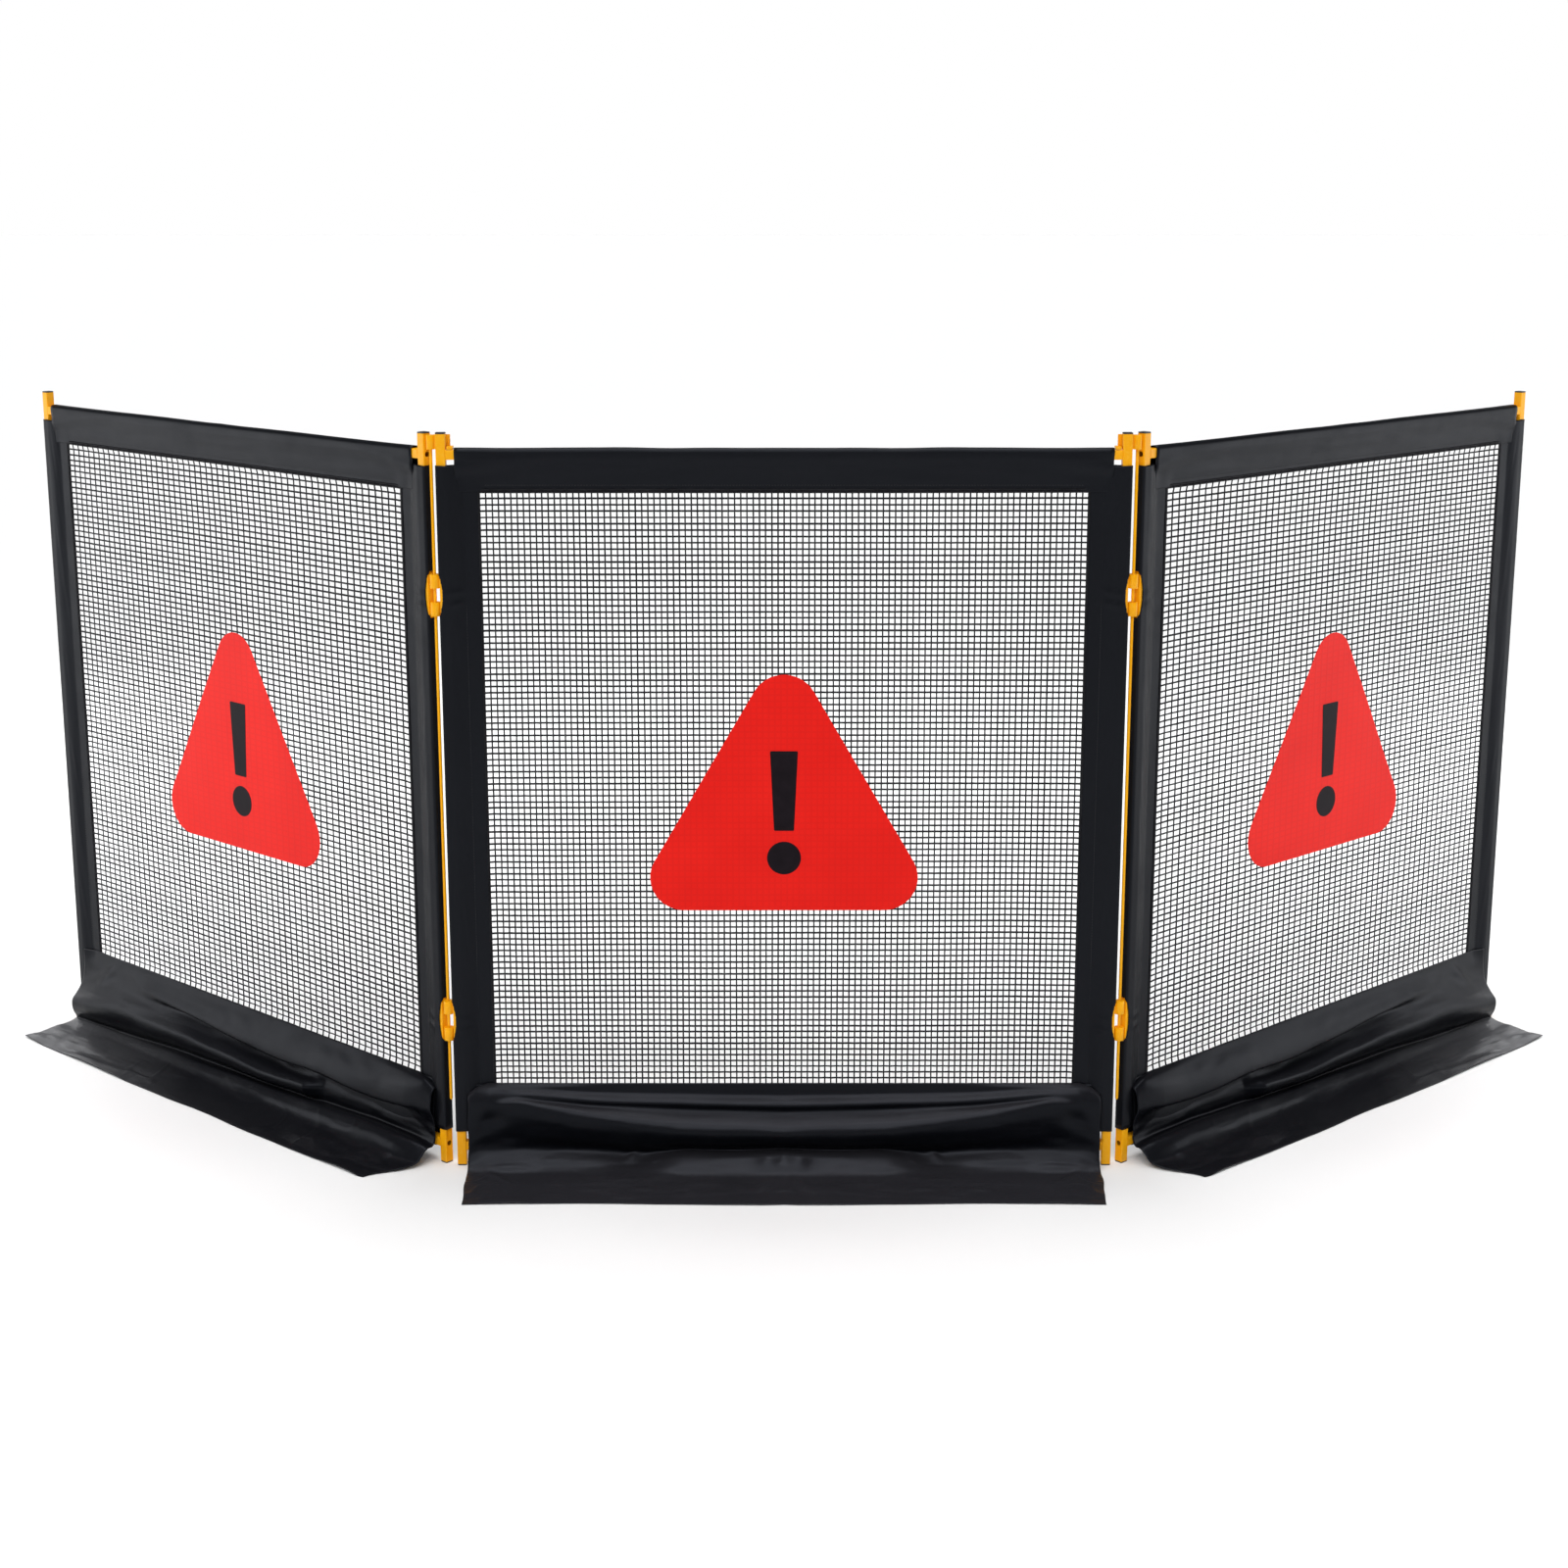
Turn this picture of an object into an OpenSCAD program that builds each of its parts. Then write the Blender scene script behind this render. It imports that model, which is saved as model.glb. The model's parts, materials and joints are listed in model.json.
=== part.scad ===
// Three-panel folding work-area barrier screen: two-post frames of square
// tube joined by lift-out hinge rods, each with a vinyl-edged net, a floor
// skirt and a warning triangle.
// Millimetres, +Z up, feet on z = 0, origin under the middle of the whole
// folded-out footprint, the front (skirt side) faces -Y.

/* [Panels] */
// Outer width of one panel frame
panel_w = 1070; // [800:5:1500]
// Height of the posts with their end plugs
panel_h = 1200; // [900:5:1600]
// How far each side panel stands folded back from straight, in degrees
fold = 41.7; // [0:0.1:70]

/* [Tubes] */
// Outer side of the square tube
tube = 15; // [12:0.5:25]
// Wall of the square tube
wall = 1.2; // [0.8:0.1:2]
// Chamfer along the tube corners
tube_c = 1; // [0.4:0.1:2]
// Height of the top rail's centre
top_rail_z = 1166; // [1000:1:1500]
// Height of the bottom rail's centre
bottom_rail_z = 33.5; // [20:0.5:80]
// Thickness of the end plug caps
plug_cap = 2; // [1:0.5:4]
// Length of the end plug tongues
plug_tongue = 14; // [8:1:25]

/* [Hinges] */
// Hinge rod axis to post face
hinge_gap = 8.2; // [7:0.1:14]
// Outer radius of the knuckles
knuckle_r = 7.8; // [6:0.1:12]
// Height of one knuckle
knuckle_h = 22; // [12:1:40]
// Underside of the centre panel's upper knuckle
knuckle_hi = 958; // [700:1:1200]
// Underside of the centre panel's lower knuckle
knuckle_lo = 260; // [180:1:500]
// Drop from a centre knuckle to the side panel's knuckle under it
knuckle_drop = 44; // [30:1:80]
// Diameter of the lift-out hinge rod
rod_d = 5; // [4:0.5:8]
// Lower end of the hinge rod
rod_z0 = 112; // [60:1:200]
// Lower side of the rod's head
head_z0 = 1174.2; // [1100:0.1:1300]
// Height of the rod's head
head_h = 22; // [12:1:40]

/* [Cover] */
// Thickness of the vinyl
vinyl = 0.9; // [0.5:0.1:2]
// Slack between the vinyl and the tubes
slack = 0.3; // [0.2:0.1:2]
// Post edge to the edge of the net window
hem_w = 65; // [40:1:120]
// Top of the net window
net_top = 1109; // [900:1:1400]
// Bottom of the net window
net_bottom = 139; // [80:1:300]
// Top end of the post sleeves
sleeve_top = 1149; // [1000:1:1400]
// Bottom end of the post sleeves
sleeve_bottom = 59; // [45:1:120]
// Post edge to the end of the rail sleeves
rail_sleeve_in = 28; // [20:1:60]
// Post edge to the seam that closes the post sleeve
seam_in = 40; // [30:1:80]
// Height of the seam that closes the top rail's sleeve
rail_seam_z = 1118; // [1000:1:1400]
// Thickness of the net
net_t = 1; // [0.6:0.1:2]

/* [Skirt] */
// Thickness of the skirt solid
skirt_t = 3; // [1:0.5:6]
// Post edge to the end of the skirt
skirt_in = 20.5; // [16:0.5:60]
// How far the skirt reaches in front of the net
skirt_reach = 164; // [100:1:250]
// Height of the skirt's top seam
skirt_top = 142; // [100:1:300]

/* [Warning triangle] */
// Distance between the triangle's corner centres
sign_side = 320; // [150:5:450]
// Radius of the triangle's corners
sign_r = 54; // [10:1:80]
// Lower edge of the triangle
sign_z = 435; // [300:5:700]
// Shift of the side panels' triangles towards the hinge
sign_shift = 10; // [0:1:40]
// Thickness of the triangle
sign_t = 0.8; // [0.5:0.1:2]

/* [Hidden] */
$fn = 48;

half = tube / 2;
sleeve_o = slack + vinyl;          // vinyl's outer face stands this far off the tube
sr = half + sleeve_o;              // half depth of a sleeve
seam_rise = (sr - vinyl) * (rail_sleeve_in - 0.3 - tube - sleeve_o) / (seam_in - tube - sleeve_o);
back_y = (hinge_gap + panel_w + sleeve_o) * sin(fold) + sr * cos(fold);
mid_y = (skirt_reach - back_y) / 2; // net plane of the centre panel
hinge_x = panel_w / 2 + hinge_gap;
bore_r = rod_d / 2 + 0.06;
screw_zs = [top_rail_z, bottom_rail_z];

yellow = [0.93, 0.62, 0.04];
black = [0.08, 0.08, 0.09];
net_col = [0.16, 0.16, 0.17];
steel = [0.6, 0.6, 0.62];
red = [0.85, 0.1, 0.08];

// ---- placing: a panel's own frame has x from its left or hinge-side edge,
// y = 0 in the net plane and z = 0 on the floor
module centre() translate([-panel_w / 2, mid_y, 0]) children();
module right_side() translate([hinge_x, mid_y, 0]) rotate([0, 0, fold]) translate([hinge_gap, 0, 0]) children();
module left_side() mirror([1, 0, 0]) right_side() children();
module far_end() translate([panel_w, 0, 0]) mirror([1, 0, 0]) children();

// ---- tube outlines
module tube_outline(s, c) polygon([
  [-s / 2 + c, -s / 2], [s / 2 - c, -s / 2], [s / 2, -s / 2 + c], [s / 2, s / 2 - c],
  [s / 2 - c, s / 2], [-s / 2 + c, s / 2], [-s / 2, s / 2 - c], [-s / 2, -s / 2 + c]
]);
module tube_section() difference() {
  tube_outline(tube, tube_c);
  tube_outline(tube - 2 * wall, 0.4);
}

// ---- one post, its outer face on x = 0; the screws enter from that face
module post() difference() {
  translate([half, 0, plug_cap]) linear_extrude(panel_h - 2 * plug_cap) tube_section();
  for (z = screw_zs) translate([-1, 0, z]) rotate([0, 90, 0]) {
    cylinder(h = half, r = 4.2);
    cylinder(h = tube + 2, r = 2.3);
  }
}

module rail(z) translate([tube + 0.02, 0, z]) rotate([90, 0, 90])
  linear_extrude(panel_w - 2 * tube - 0.04) tube_section();

// ---- end plugs of both posts
module end_plugs() for (x = [half, panel_w - half]) translate([x, 0, 0]) {
  linear_extrude(plug_cap) tube_outline(tube, 1.4);
  translate([0, 0, plug_cap - 0.01]) linear_extrude(plug_tongue) tube_outline(tube - 2 * wall - 0.4, 0.8);
  translate([0, 0, panel_h - plug_cap]) linear_extrude(plug_cap) tube_outline(tube, 1.4);
  translate([0, 0, panel_h - plug_cap - plug_tongue + 0.01]) linear_extrude(plug_tongue) tube_outline(tube - 2 * wall - 0.4, 0.8);
}

// ---- threaded plugs pressed into the rail ends
module rail_insert() difference() {
  rotate([90, 0, 90]) linear_extrude(18) tube_outline(tube - 2 * wall - 0.3, 0.7);
  translate([-1, 0, 0]) rotate([0, 90, 0]) cylinder(h = 22, r = 2.04);
}
module rail_inserts() for (z = screw_zs) {
  translate([tube + 0.1, 0, z]) rail_insert();
  far_end() translate([tube + 0.1, 0, z]) rail_insert();
}

// ---- the screw's head bears on the post's inner wall
module rail_screw() translate([tube - wall - 0.05, 0, 0]) rotate([0, 90, 0]) {
  difference() {
    translate([0, 0, -2.6]) cylinder(h = 2.6, r = 3.6);
    translate([0, 0, -3]) cylinder(h = 2, r = 1.5, $fn = 6);
  }
  translate([0, 0, -0.05]) cylinder(h = 16, r = 2);
}
module rail_screws() for (z = screw_zs) {
  translate([0, 0, z]) rail_screw();
  far_end() translate([0, 0, z]) rail_screw();
}

// ---- hinge knuckles on the post face at x = 0, axis at x = -hinge_gap
module knuckle(z) difference() {
  union() {
    translate([-hinge_gap, 0, z]) cylinder(h = knuckle_h, r = knuckle_r);
    translate([-hinge_gap, -4, z + 2]) cube([hinge_gap - 0.02, 8, knuckle_h - 4]);
  }
  translate([-hinge_gap, 0, z - 1]) cylinder(h = knuckle_h + 2, r = bore_r);
}
module centre_knuckles() { knuckle(knuckle_hi); knuckle(knuckle_lo); }
module side_knuckles() { knuckle(knuckle_hi - knuckle_drop); knuckle(knuckle_lo - knuckle_drop - 1); }

// ---- lift-out rod, in the frame of the post it stands beside
module hinge_rod() translate([-hinge_gap, 0, rod_z0]) {
  cylinder(h = 3, r1 = rod_d / 2 - 1.2, r2 = rod_d / 2);
  translate([0, 0, 2.99]) cylinder(h = head_z0 - rod_z0 - 2.99 + 0.4, r = rod_d / 2);
}
// boss on the rod, strap round the back of the post and foot over the rail
module rod_head() {
  difference() {
    translate([-hinge_gap, 0, head_z0]) cylinder(h = head_h, r = 6.4);
    translate([-hinge_gap, 0, head_z0 - 1]) cylinder(h = 1.41, r = rod_d / 2 + 0.02);
  }
  difference() {
    translate([-3.6, -2.5, head_z0]) cube([24.6, half + 6.1, head_h]);
    translate([-0.5, -4, head_z0 - 1]) cube([30, half + 4.5, head_h + 2]);
  }
  translate([17, -half + 1, head_z0]) cube([9, tube + 1.6, 4.4]);
}

// ---- vinyl sleeve and hem round one post, hinge cut-outs where asked: the
// two layers run from the tube's faces to a seam and go on as a flat hem
module post_sleeve(cut) difference() {
  union() {
    translate([0, 0, sleeve_bottom]) linear_extrude(sleeve_top - sleeve_bottom) difference() {
      polygon([[-sleeve_o, -sr], [tube + sleeve_o, -sr], [rail_sleeve_in - 0.3, -sr + seam_rise],
        [rail_sleeve_in - 0.3, sr - seam_rise], [tube + sleeve_o, sr], [-sleeve_o, sr]]);
      polygon([[-slack, -half - slack], [tube + slack, -half - slack], [rail_sleeve_in + 1, -half - slack + seam_rise * 1.1],
        [rail_sleeve_in + 1, half + slack - seam_rise * 1.1], [tube + slack, half + slack], [-slack, half + slack]]);
    }
    translate([0, 0, net_bottom + 0.3]) linear_extrude(net_top - net_bottom - 0.6) difference() {
      polygon([[rail_sleeve_in - 0.4, -sr + seam_rise], [seam_in, -vinyl], [hem_w, -vinyl],
        [hem_w, vinyl], [seam_in, vinyl], [rail_sleeve_in - 0.4, sr - seam_rise]]);
      polygon([[rail_sleeve_in - 1, -half - slack + seam_rise * 1.02], [seam_in - 1, -0.05],
        [seam_in - 1, 0.05], [rail_sleeve_in - 1, half + slack - seam_rise * 1.02]]);
    }
  }
  if (cut) for (z = [knuckle_hi, knuckle_lo]) translate([-5, -20, z - knuckle_drop - 6])
    cube([9, 40, knuckle_drop + knuckle_h + 12]);
}

// ---- vinyl sleeve round a rail, its seam and flat band to the net window
module rail_sleeve(z, z_end) {
  len = panel_w - 2 * rail_sleeve_in;
  d = z_end < z ? -1 : 1;                 // the way the band runs
  zs = d < 0 ? rail_seam_z : z_end - 12;  // seam height
  translate([rail_sleeve_in, 0, 0]) rotate([90, 0, 90]) linear_extrude(len) difference() {
    polygon([[-sr, z - d * sr], [sr, z - d * sr], [sr, z + d * sr], [vinyl, zs], [vinyl, z_end],
      [-vinyl, z_end], [-vinyl, zs], [-sr, z + d * sr]]);
    polygon([[-half - slack, z - d * (half + slack)], [half + slack, z - d * (half + slack)],
      [half + slack, z + d * (half + slack)], [0.05, zs - d * 1], [-0.05, zs - d * 1], [-half - slack, z + d * (half + slack)]]);
  }
}

module net() translate([hem_w + 0.2, -net_t / 2, net_bottom + 0.2])
  cube([panel_w - 2 * hem_w - 0.4, net_t, net_top - net_bottom - 0.4]);

// ---- skirt: hangs from its seam, bellies forward, creases and lies on the
// floor; its top corners stop against the post sleeves
module skirt() {
  t = skirt_t; r = skirt_reach;
  difference() {
    translate([skirt_in, 0, 0]) rotate([90, 0, 90]) linear_extrude(panel_w - 2 * skirt_in) polygon([
      [-1.1, skirt_top], [-1.1 - t, skirt_top], [-14, 125], [-29, 99], [-38, 72], [-41, 48],
      [-37, 24], [-42, 12], [-56, t + 3], [-r, t], [-r, 0], [-40, 0], [-34, 8],
      [-33, 24], [-37, 48], [-34, 71], [-25, 97], [-10, 122]
    ]);
    sleeve_room();
    far_end() sleeve_room();
  }
}
module sleeve_room() translate([0, 0, skirt_top - 30]) linear_extrude(40) polygon([
  [-5, -sr - 0.3], [tube + sleeve_o, -sr - 0.3], [rail_sleeve_in, -sr + seam_rise - 0.3],
  [seam_in + 0.5, -vinyl - 0.15], [seam_in + 0.5, 20], [-5, 20]
]);

// ---- warning triangle on the front of the net, and its mark
module sign_plate() translate([0, -net_t / 2 - 0.05, sign_z + sign_r]) rotate([90, 0, 0]) linear_extrude(sign_t)
  hull() for (p = [[-sign_side / 2, 0], [sign_side / 2, 0], [0, sign_side * 0.866]]) translate(p) circle(r = sign_r, $fn = 72);
module sign_mark() translate([0, -net_t / 2 - sign_t - 0.1, sign_z]) rotate([90, 0, 0]) {
  linear_extrude(0.5) polygon([[-22, 262], [22, 262], [16, 132], [-16, 132]]);
  translate([0, 87, 0]) cylinder(h = 0.5, r = 27, $fn = 60);
}

// ---- centre panel
module c_post_left() color(yellow) centre() post();
module c_post_right() color(yellow) centre() far_end() post();
module c_top_rail() color(yellow) centre() rail(top_rail_z);
module c_bottom_rail() color(yellow) centre() rail(bottom_rail_z);
module c_end_plugs() color(black) centre() end_plugs();
module c_rail_inserts() color(black) centre() rail_inserts();
module c_rail_screws() color(steel) centre() rail_screws();
module c_knuckles_left() color(yellow) centre() centre_knuckles();
module c_knuckles_right() color(yellow) centre() far_end() centre_knuckles();
module c_net() color(net_col) centre() net();
module c_top_sleeve() color(black) centre() rail_sleeve(top_rail_z, net_top);
module c_bottom_sleeve() color(black) centre() rail_sleeve(bottom_rail_z, net_bottom);
module c_post_sleeve_left() color(black) centre() post_sleeve(true);
module c_post_sleeve_right() color(black) centre() far_end() post_sleeve(true);
module c_skirt() color(black) centre() skirt();
module c_sign() color(red) centre() translate([panel_w / 2, 0, 0]) sign_plate();
module c_sign_mark() color(black) centre() translate([panel_w / 2, 0, 0]) sign_mark();

// ---- left panel
module l_post_inner() color(yellow) left_side() post();
module l_post_outer() color(yellow) left_side() far_end() post();
module l_top_rail() color(yellow) left_side() rail(top_rail_z);
module l_bottom_rail() color(yellow) left_side() rail(bottom_rail_z);
module l_end_plugs() color(black) left_side() end_plugs();
module l_rail_inserts() color(black) left_side() rail_inserts();
module l_rail_screws() color(steel) left_side() rail_screws();
module l_knuckles() color(yellow) left_side() side_knuckles();
module l_net() color(net_col) left_side() net();
module l_top_sleeve() color(black) left_side() rail_sleeve(top_rail_z, net_top);
module l_bottom_sleeve() color(black) left_side() rail_sleeve(bottom_rail_z, net_bottom);
module l_post_sleeve_inner() color(black) left_side() post_sleeve(true);
module l_post_sleeve_outer() color(black) left_side() far_end() post_sleeve(false);
module l_skirt() color(black) left_side() skirt();
module l_sign() color(red) left_side() translate([panel_w / 2 - sign_shift, 0, 0]) sign_plate();
module l_sign_mark() color(black) left_side() translate([panel_w / 2 - sign_shift, 0, 0]) sign_mark();

// ---- right panel
module r_post_inner() color(yellow) right_side() post();
module r_post_outer() color(yellow) right_side() far_end() post();
module r_top_rail() color(yellow) right_side() rail(top_rail_z);
module r_bottom_rail() color(yellow) right_side() rail(bottom_rail_z);
module r_end_plugs() color(black) right_side() end_plugs();
module r_rail_inserts() color(black) right_side() rail_inserts();
module r_rail_screws() color(steel) right_side() rail_screws();
module r_knuckles() color(yellow) right_side() side_knuckles();
module r_net() color(net_col) right_side() net();
module r_top_sleeve() color(black) right_side() rail_sleeve(top_rail_z, net_top);
module r_bottom_sleeve() color(black) right_side() rail_sleeve(bottom_rail_z, net_bottom);
module r_post_sleeve_inner() color(black) right_side() post_sleeve(true);
module r_post_sleeve_outer() color(black) right_side() far_end() post_sleeve(false);
module r_skirt() color(black) right_side() skirt();
module r_sign() color(red) right_side() translate([panel_w / 2 - sign_shift, 0, 0]) sign_plate();
module r_sign_mark() color(black) right_side() translate([panel_w / 2 - sign_shift, 0, 0]) sign_mark();

// ---- lift-out hinge rods
module left_hinge_rod() color(yellow) centre() hinge_rod();
module left_rod_head() color(yellow) centre() rod_head();
module right_hinge_rod() color(yellow) centre() far_end() hinge_rod();
module right_rod_head() color(yellow) centre() far_end() rod_head();

c_post_left();
c_post_right();
c_top_rail();
c_bottom_rail();
c_end_plugs();
c_rail_inserts();
c_rail_screws();
c_knuckles_left();
c_knuckles_right();
c_net();
c_top_sleeve();
c_bottom_sleeve();
c_post_sleeve_left();
c_post_sleeve_right();
c_skirt();
c_sign();
c_sign_mark();
l_post_inner();
l_post_outer();
l_top_rail();
l_bottom_rail();
l_end_plugs();
l_rail_inserts();
l_rail_screws();
l_knuckles();
l_net();
l_top_sleeve();
l_bottom_sleeve();
l_post_sleeve_inner();
l_post_sleeve_outer();
l_skirt();
l_sign();
l_sign_mark();
r_post_inner();
r_post_outer();
r_top_rail();
r_bottom_rail();
r_end_plugs();
r_rail_inserts();
r_rail_screws();
r_knuckles();
r_net();
r_top_sleeve();
r_bottom_sleeve();
r_post_sleeve_inner();
r_post_sleeve_outer();
r_skirt();
r_sign();
r_sign_mark();
left_hinge_rod();
left_rod_head();
right_hinge_rod();
right_rod_head();
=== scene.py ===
import json
import math

import bpy
import numpy as np
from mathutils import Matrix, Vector


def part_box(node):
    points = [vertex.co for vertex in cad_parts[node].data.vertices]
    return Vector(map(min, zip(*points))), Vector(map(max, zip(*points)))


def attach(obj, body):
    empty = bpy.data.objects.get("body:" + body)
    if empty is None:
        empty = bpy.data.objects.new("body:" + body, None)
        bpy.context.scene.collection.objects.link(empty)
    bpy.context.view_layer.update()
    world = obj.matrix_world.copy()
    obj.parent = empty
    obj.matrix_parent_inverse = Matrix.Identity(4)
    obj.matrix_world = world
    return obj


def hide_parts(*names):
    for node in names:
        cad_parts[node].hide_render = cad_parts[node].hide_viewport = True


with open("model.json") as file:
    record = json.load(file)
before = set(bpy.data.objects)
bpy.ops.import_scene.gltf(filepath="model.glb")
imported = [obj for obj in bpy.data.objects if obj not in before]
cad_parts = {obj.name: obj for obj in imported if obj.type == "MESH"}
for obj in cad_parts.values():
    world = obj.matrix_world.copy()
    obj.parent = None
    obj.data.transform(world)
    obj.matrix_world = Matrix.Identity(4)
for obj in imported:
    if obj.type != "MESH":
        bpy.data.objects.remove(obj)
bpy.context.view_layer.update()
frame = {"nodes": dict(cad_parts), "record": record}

MM = 0.001

# ------------------------------------------------------------------ places
# A panel's own frame: x from its hinge-side (or left) edge, y = 0 in the net
# plane with the skirt side negative, z = 0 on the floor. All in metres.
lo_l, hi_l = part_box("c_post_left")
lo_r, hi_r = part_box("c_post_right")
lo_n, hi_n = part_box("c_net")
W = float(hi_r[0] - lo_l[0])
TUBE = float(hi_l[0] - lo_l[0])
MID_Y = float(lo_n[1] + hi_n[1]) / 2
JOINTS = {j["name"]: j for j in frame["record"]["behaviour"]["joints"]}
FOLD = math.radians(-JOINTS["right_fold"]["range_deg"][0])
HINGE_X = float(JOINTS["right_fold"]["pos_m"][0])
GAP = HINGE_X - W / 2
H = float(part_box("c_end_plugs")[1][2])
NET = [float(lo_n[0]) + W / 2, float(hi_n[0]) + W / 2, float(lo_n[2]), float(hi_n[2])]
RAIL_T = float(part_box("c_top_rail")[0][2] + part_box("c_top_rail")[1][2]) / 2
RAIL_B = float(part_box("c_bottom_rail")[0][2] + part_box("c_bottom_rail")[1][2]) / 2
SLV_Z = [float(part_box("c_post_sleeve_left")[0][2]), float(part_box("c_post_sleeve_left")[1][2])]
SLV_X = float(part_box("c_top_sleeve")[0][0]) + W / 2
SKIRT_X = float(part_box("c_skirt")[0][0]) + W / 2
SKIRT_Z = float(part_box("c_skirt")[1][2])
KN = [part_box("c_knuckles_left"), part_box("r_knuckles")]
CUT = [  # middle heights of the hinge cut-outs
    (float(KN[0][1][2]) + float(KN[1][1][2]) - 0.022) / 2,
    (float(KN[0][0][2]) + float(KN[1][0][2]) + 0.022) / 2,
]


def move(x, y, z):
    m = np.eye(4)
    m[:3, 3] = (x, y, z)
    return m


def turn(a):
    m = np.eye(4)
    m[:2, :2] = [[math.cos(a), -math.sin(a)], [math.sin(a), math.cos(a)]]
    return m


RIGHT = move(HINGE_X, MID_Y, 0) @ turn(FOLD) @ move(GAP, 0, 0)
FRAMES = {"c": move(-W / 2, MID_Y, 0), "r": RIGHT, "l": np.diag([-1.0, 1, 1, 1]) @ RIGHT}
BODY = {"c": "centre_panel", "l": "left_panel", "r": "right_panel"}


# ------------------------------------------------------------------- noise
def lattice(seed, n=64):
    return np.random.default_rng(seed).random((n, n)) * 2 - 1


_lat = {}


def noise(x, y, seed=0):
    """Smooth value noise in -1..1 with a period of one cell."""
    g = _lat.setdefault(seed, lattice(seed))
    n = len(g)
    x, y = np.broadcast_arrays(np.asarray(x, float), np.asarray(y, float))
    i, j = np.floor(x).astype(int), np.floor(y).astype(int)
    u, v = x - i, y - j
    u, v = u * u * u * (u * (u * 6 - 15) + 10), v * v * v * (v * (v * 6 - 15) + 10)
    i0, j0, i1, j1 = i % n, j % n, (i + 1) % n, (j + 1) % n
    return (g[i0, j0] * (1 - u) + g[i1, j0] * u) * (1 - v) + (g[i0, j1] * (1 - u) + g[i1, j1] * u) * v


def fbm(x, y, seed=0, octaves=3, fall=0.5):
    out, a = 0.0, 1.0
    for k in range(octaves):
        out = out + a * noise(np.asarray(x) * 2**k + 7.3 * k, np.asarray(y) * 2**k + 3.1 * k, seed + k)
        a *= fall
    return out


def step(a, b, x):
    t = np.clip((np.asarray(x, float) - a) / (b - a), 0, 1)
    return t * t * (3 - 2 * t)


# ------------------------------------------------------------------ meshes
def build(name, verts, quads, panel=None, tris=None, smooth=True, mats=(), mat_index=None, body=None):
    """One mesh object from numpy arrays, placed in its panel's frame."""
    v = np.asarray(verts, float)
    q = np.asarray(quads, int).reshape(-1, 4)
    t = np.zeros((0, 3), int) if tris is None else np.asarray(tris, int).reshape(-1, 3)
    if panel:
        m = FRAMES[panel]
        v = v @ m[:3, :3].T + m[:3, 3]
        if np.linalg.det(m[:3, :3]) < 0:
            q, t = q[:, ::-1], t[:, ::-1]
    me = bpy.data.meshes.new(name)
    me.vertices.add(len(v))
    me.vertices.foreach_set("co", v.astype(np.float32).ravel())
    loops = np.concatenate([q.ravel(), t.ravel()]).astype(np.int32)
    me.loops.add(len(loops))
    me.loops.foreach_set("vertex_index", loops)
    n = len(q) + len(t)
    me.polygons.add(n)
    starts = np.concatenate([np.arange(len(q)) * 4, len(q) * 4 + np.arange(len(t)) * 3]).astype(np.int32)
    me.polygons.foreach_set("loop_start", starts)
    me.polygons.foreach_set("use_smooth", np.full(n, smooth))
    if mat_index is not None:
        me.polygons.foreach_set("material_index", np.asarray(mat_index, np.int32))
    me.update(calc_edges=True)
    me.validate()
    for mat in mats:
        me.materials.append(mat)
    ob = bpy.data.objects.new(name, me)
    bpy.context.scene.collection.objects.link(ob)
    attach(ob, body or BODY[panel])
    return ob


def normals_of(P):
    du = np.gradient(P, axis=0)
    dv = np.gradient(P, axis=1)
    n = np.cross(du, dv)
    return n / np.maximum(np.linalg.norm(n, axis=2, keepdims=True), 1e-12)


def thick(P, t, mask=None):
    """Both faces and the rim of a sheet whose middle surface is the grid P."""
    nu, nv = P.shape[:2]
    n = normals_of(P)
    tt = np.asarray(t)
    if tt.ndim == 0:
        tt = np.full((nu, nv), float(t))
    A = P + n * tt[..., None] / 2
    B = P - n * tt[..., None] / 2
    idx = np.arange(nu * nv).reshape(nu, nv)
    q = np.stack([idx[:-1, :-1], idx[1:, :-1], idx[1:, 1:], idx[:-1, 1:]], -1)
    if mask is not None:
        q = q[mask]
    q = q.reshape(-1, 4)
    e = np.concatenate([q[:, [0, 1]], q[:, [1, 2]], q[:, [2, 3]], q[:, [3, 0]]])
    key = e[:, 0].astype(np.int64) * nu * nv + e[:, 1]
    back = e[:, 1].astype(np.int64) * nu * nv + e[:, 0]
    rim = e[~np.isin(key, back)]
    off = nu * nv
    rq = np.stack([rim[:, 1], rim[:, 0], rim[:, 0] + off, rim[:, 1] + off], -1)
    faces = np.concatenate([q, q[:, ::-1] + off, rq])
    verts = np.concatenate([A.reshape(-1, 3), B.reshape(-1, 3)])
    used, inv = np.unique(faces, return_inverse=True)
    return verts[used], inv.reshape(faces.shape)


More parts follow.
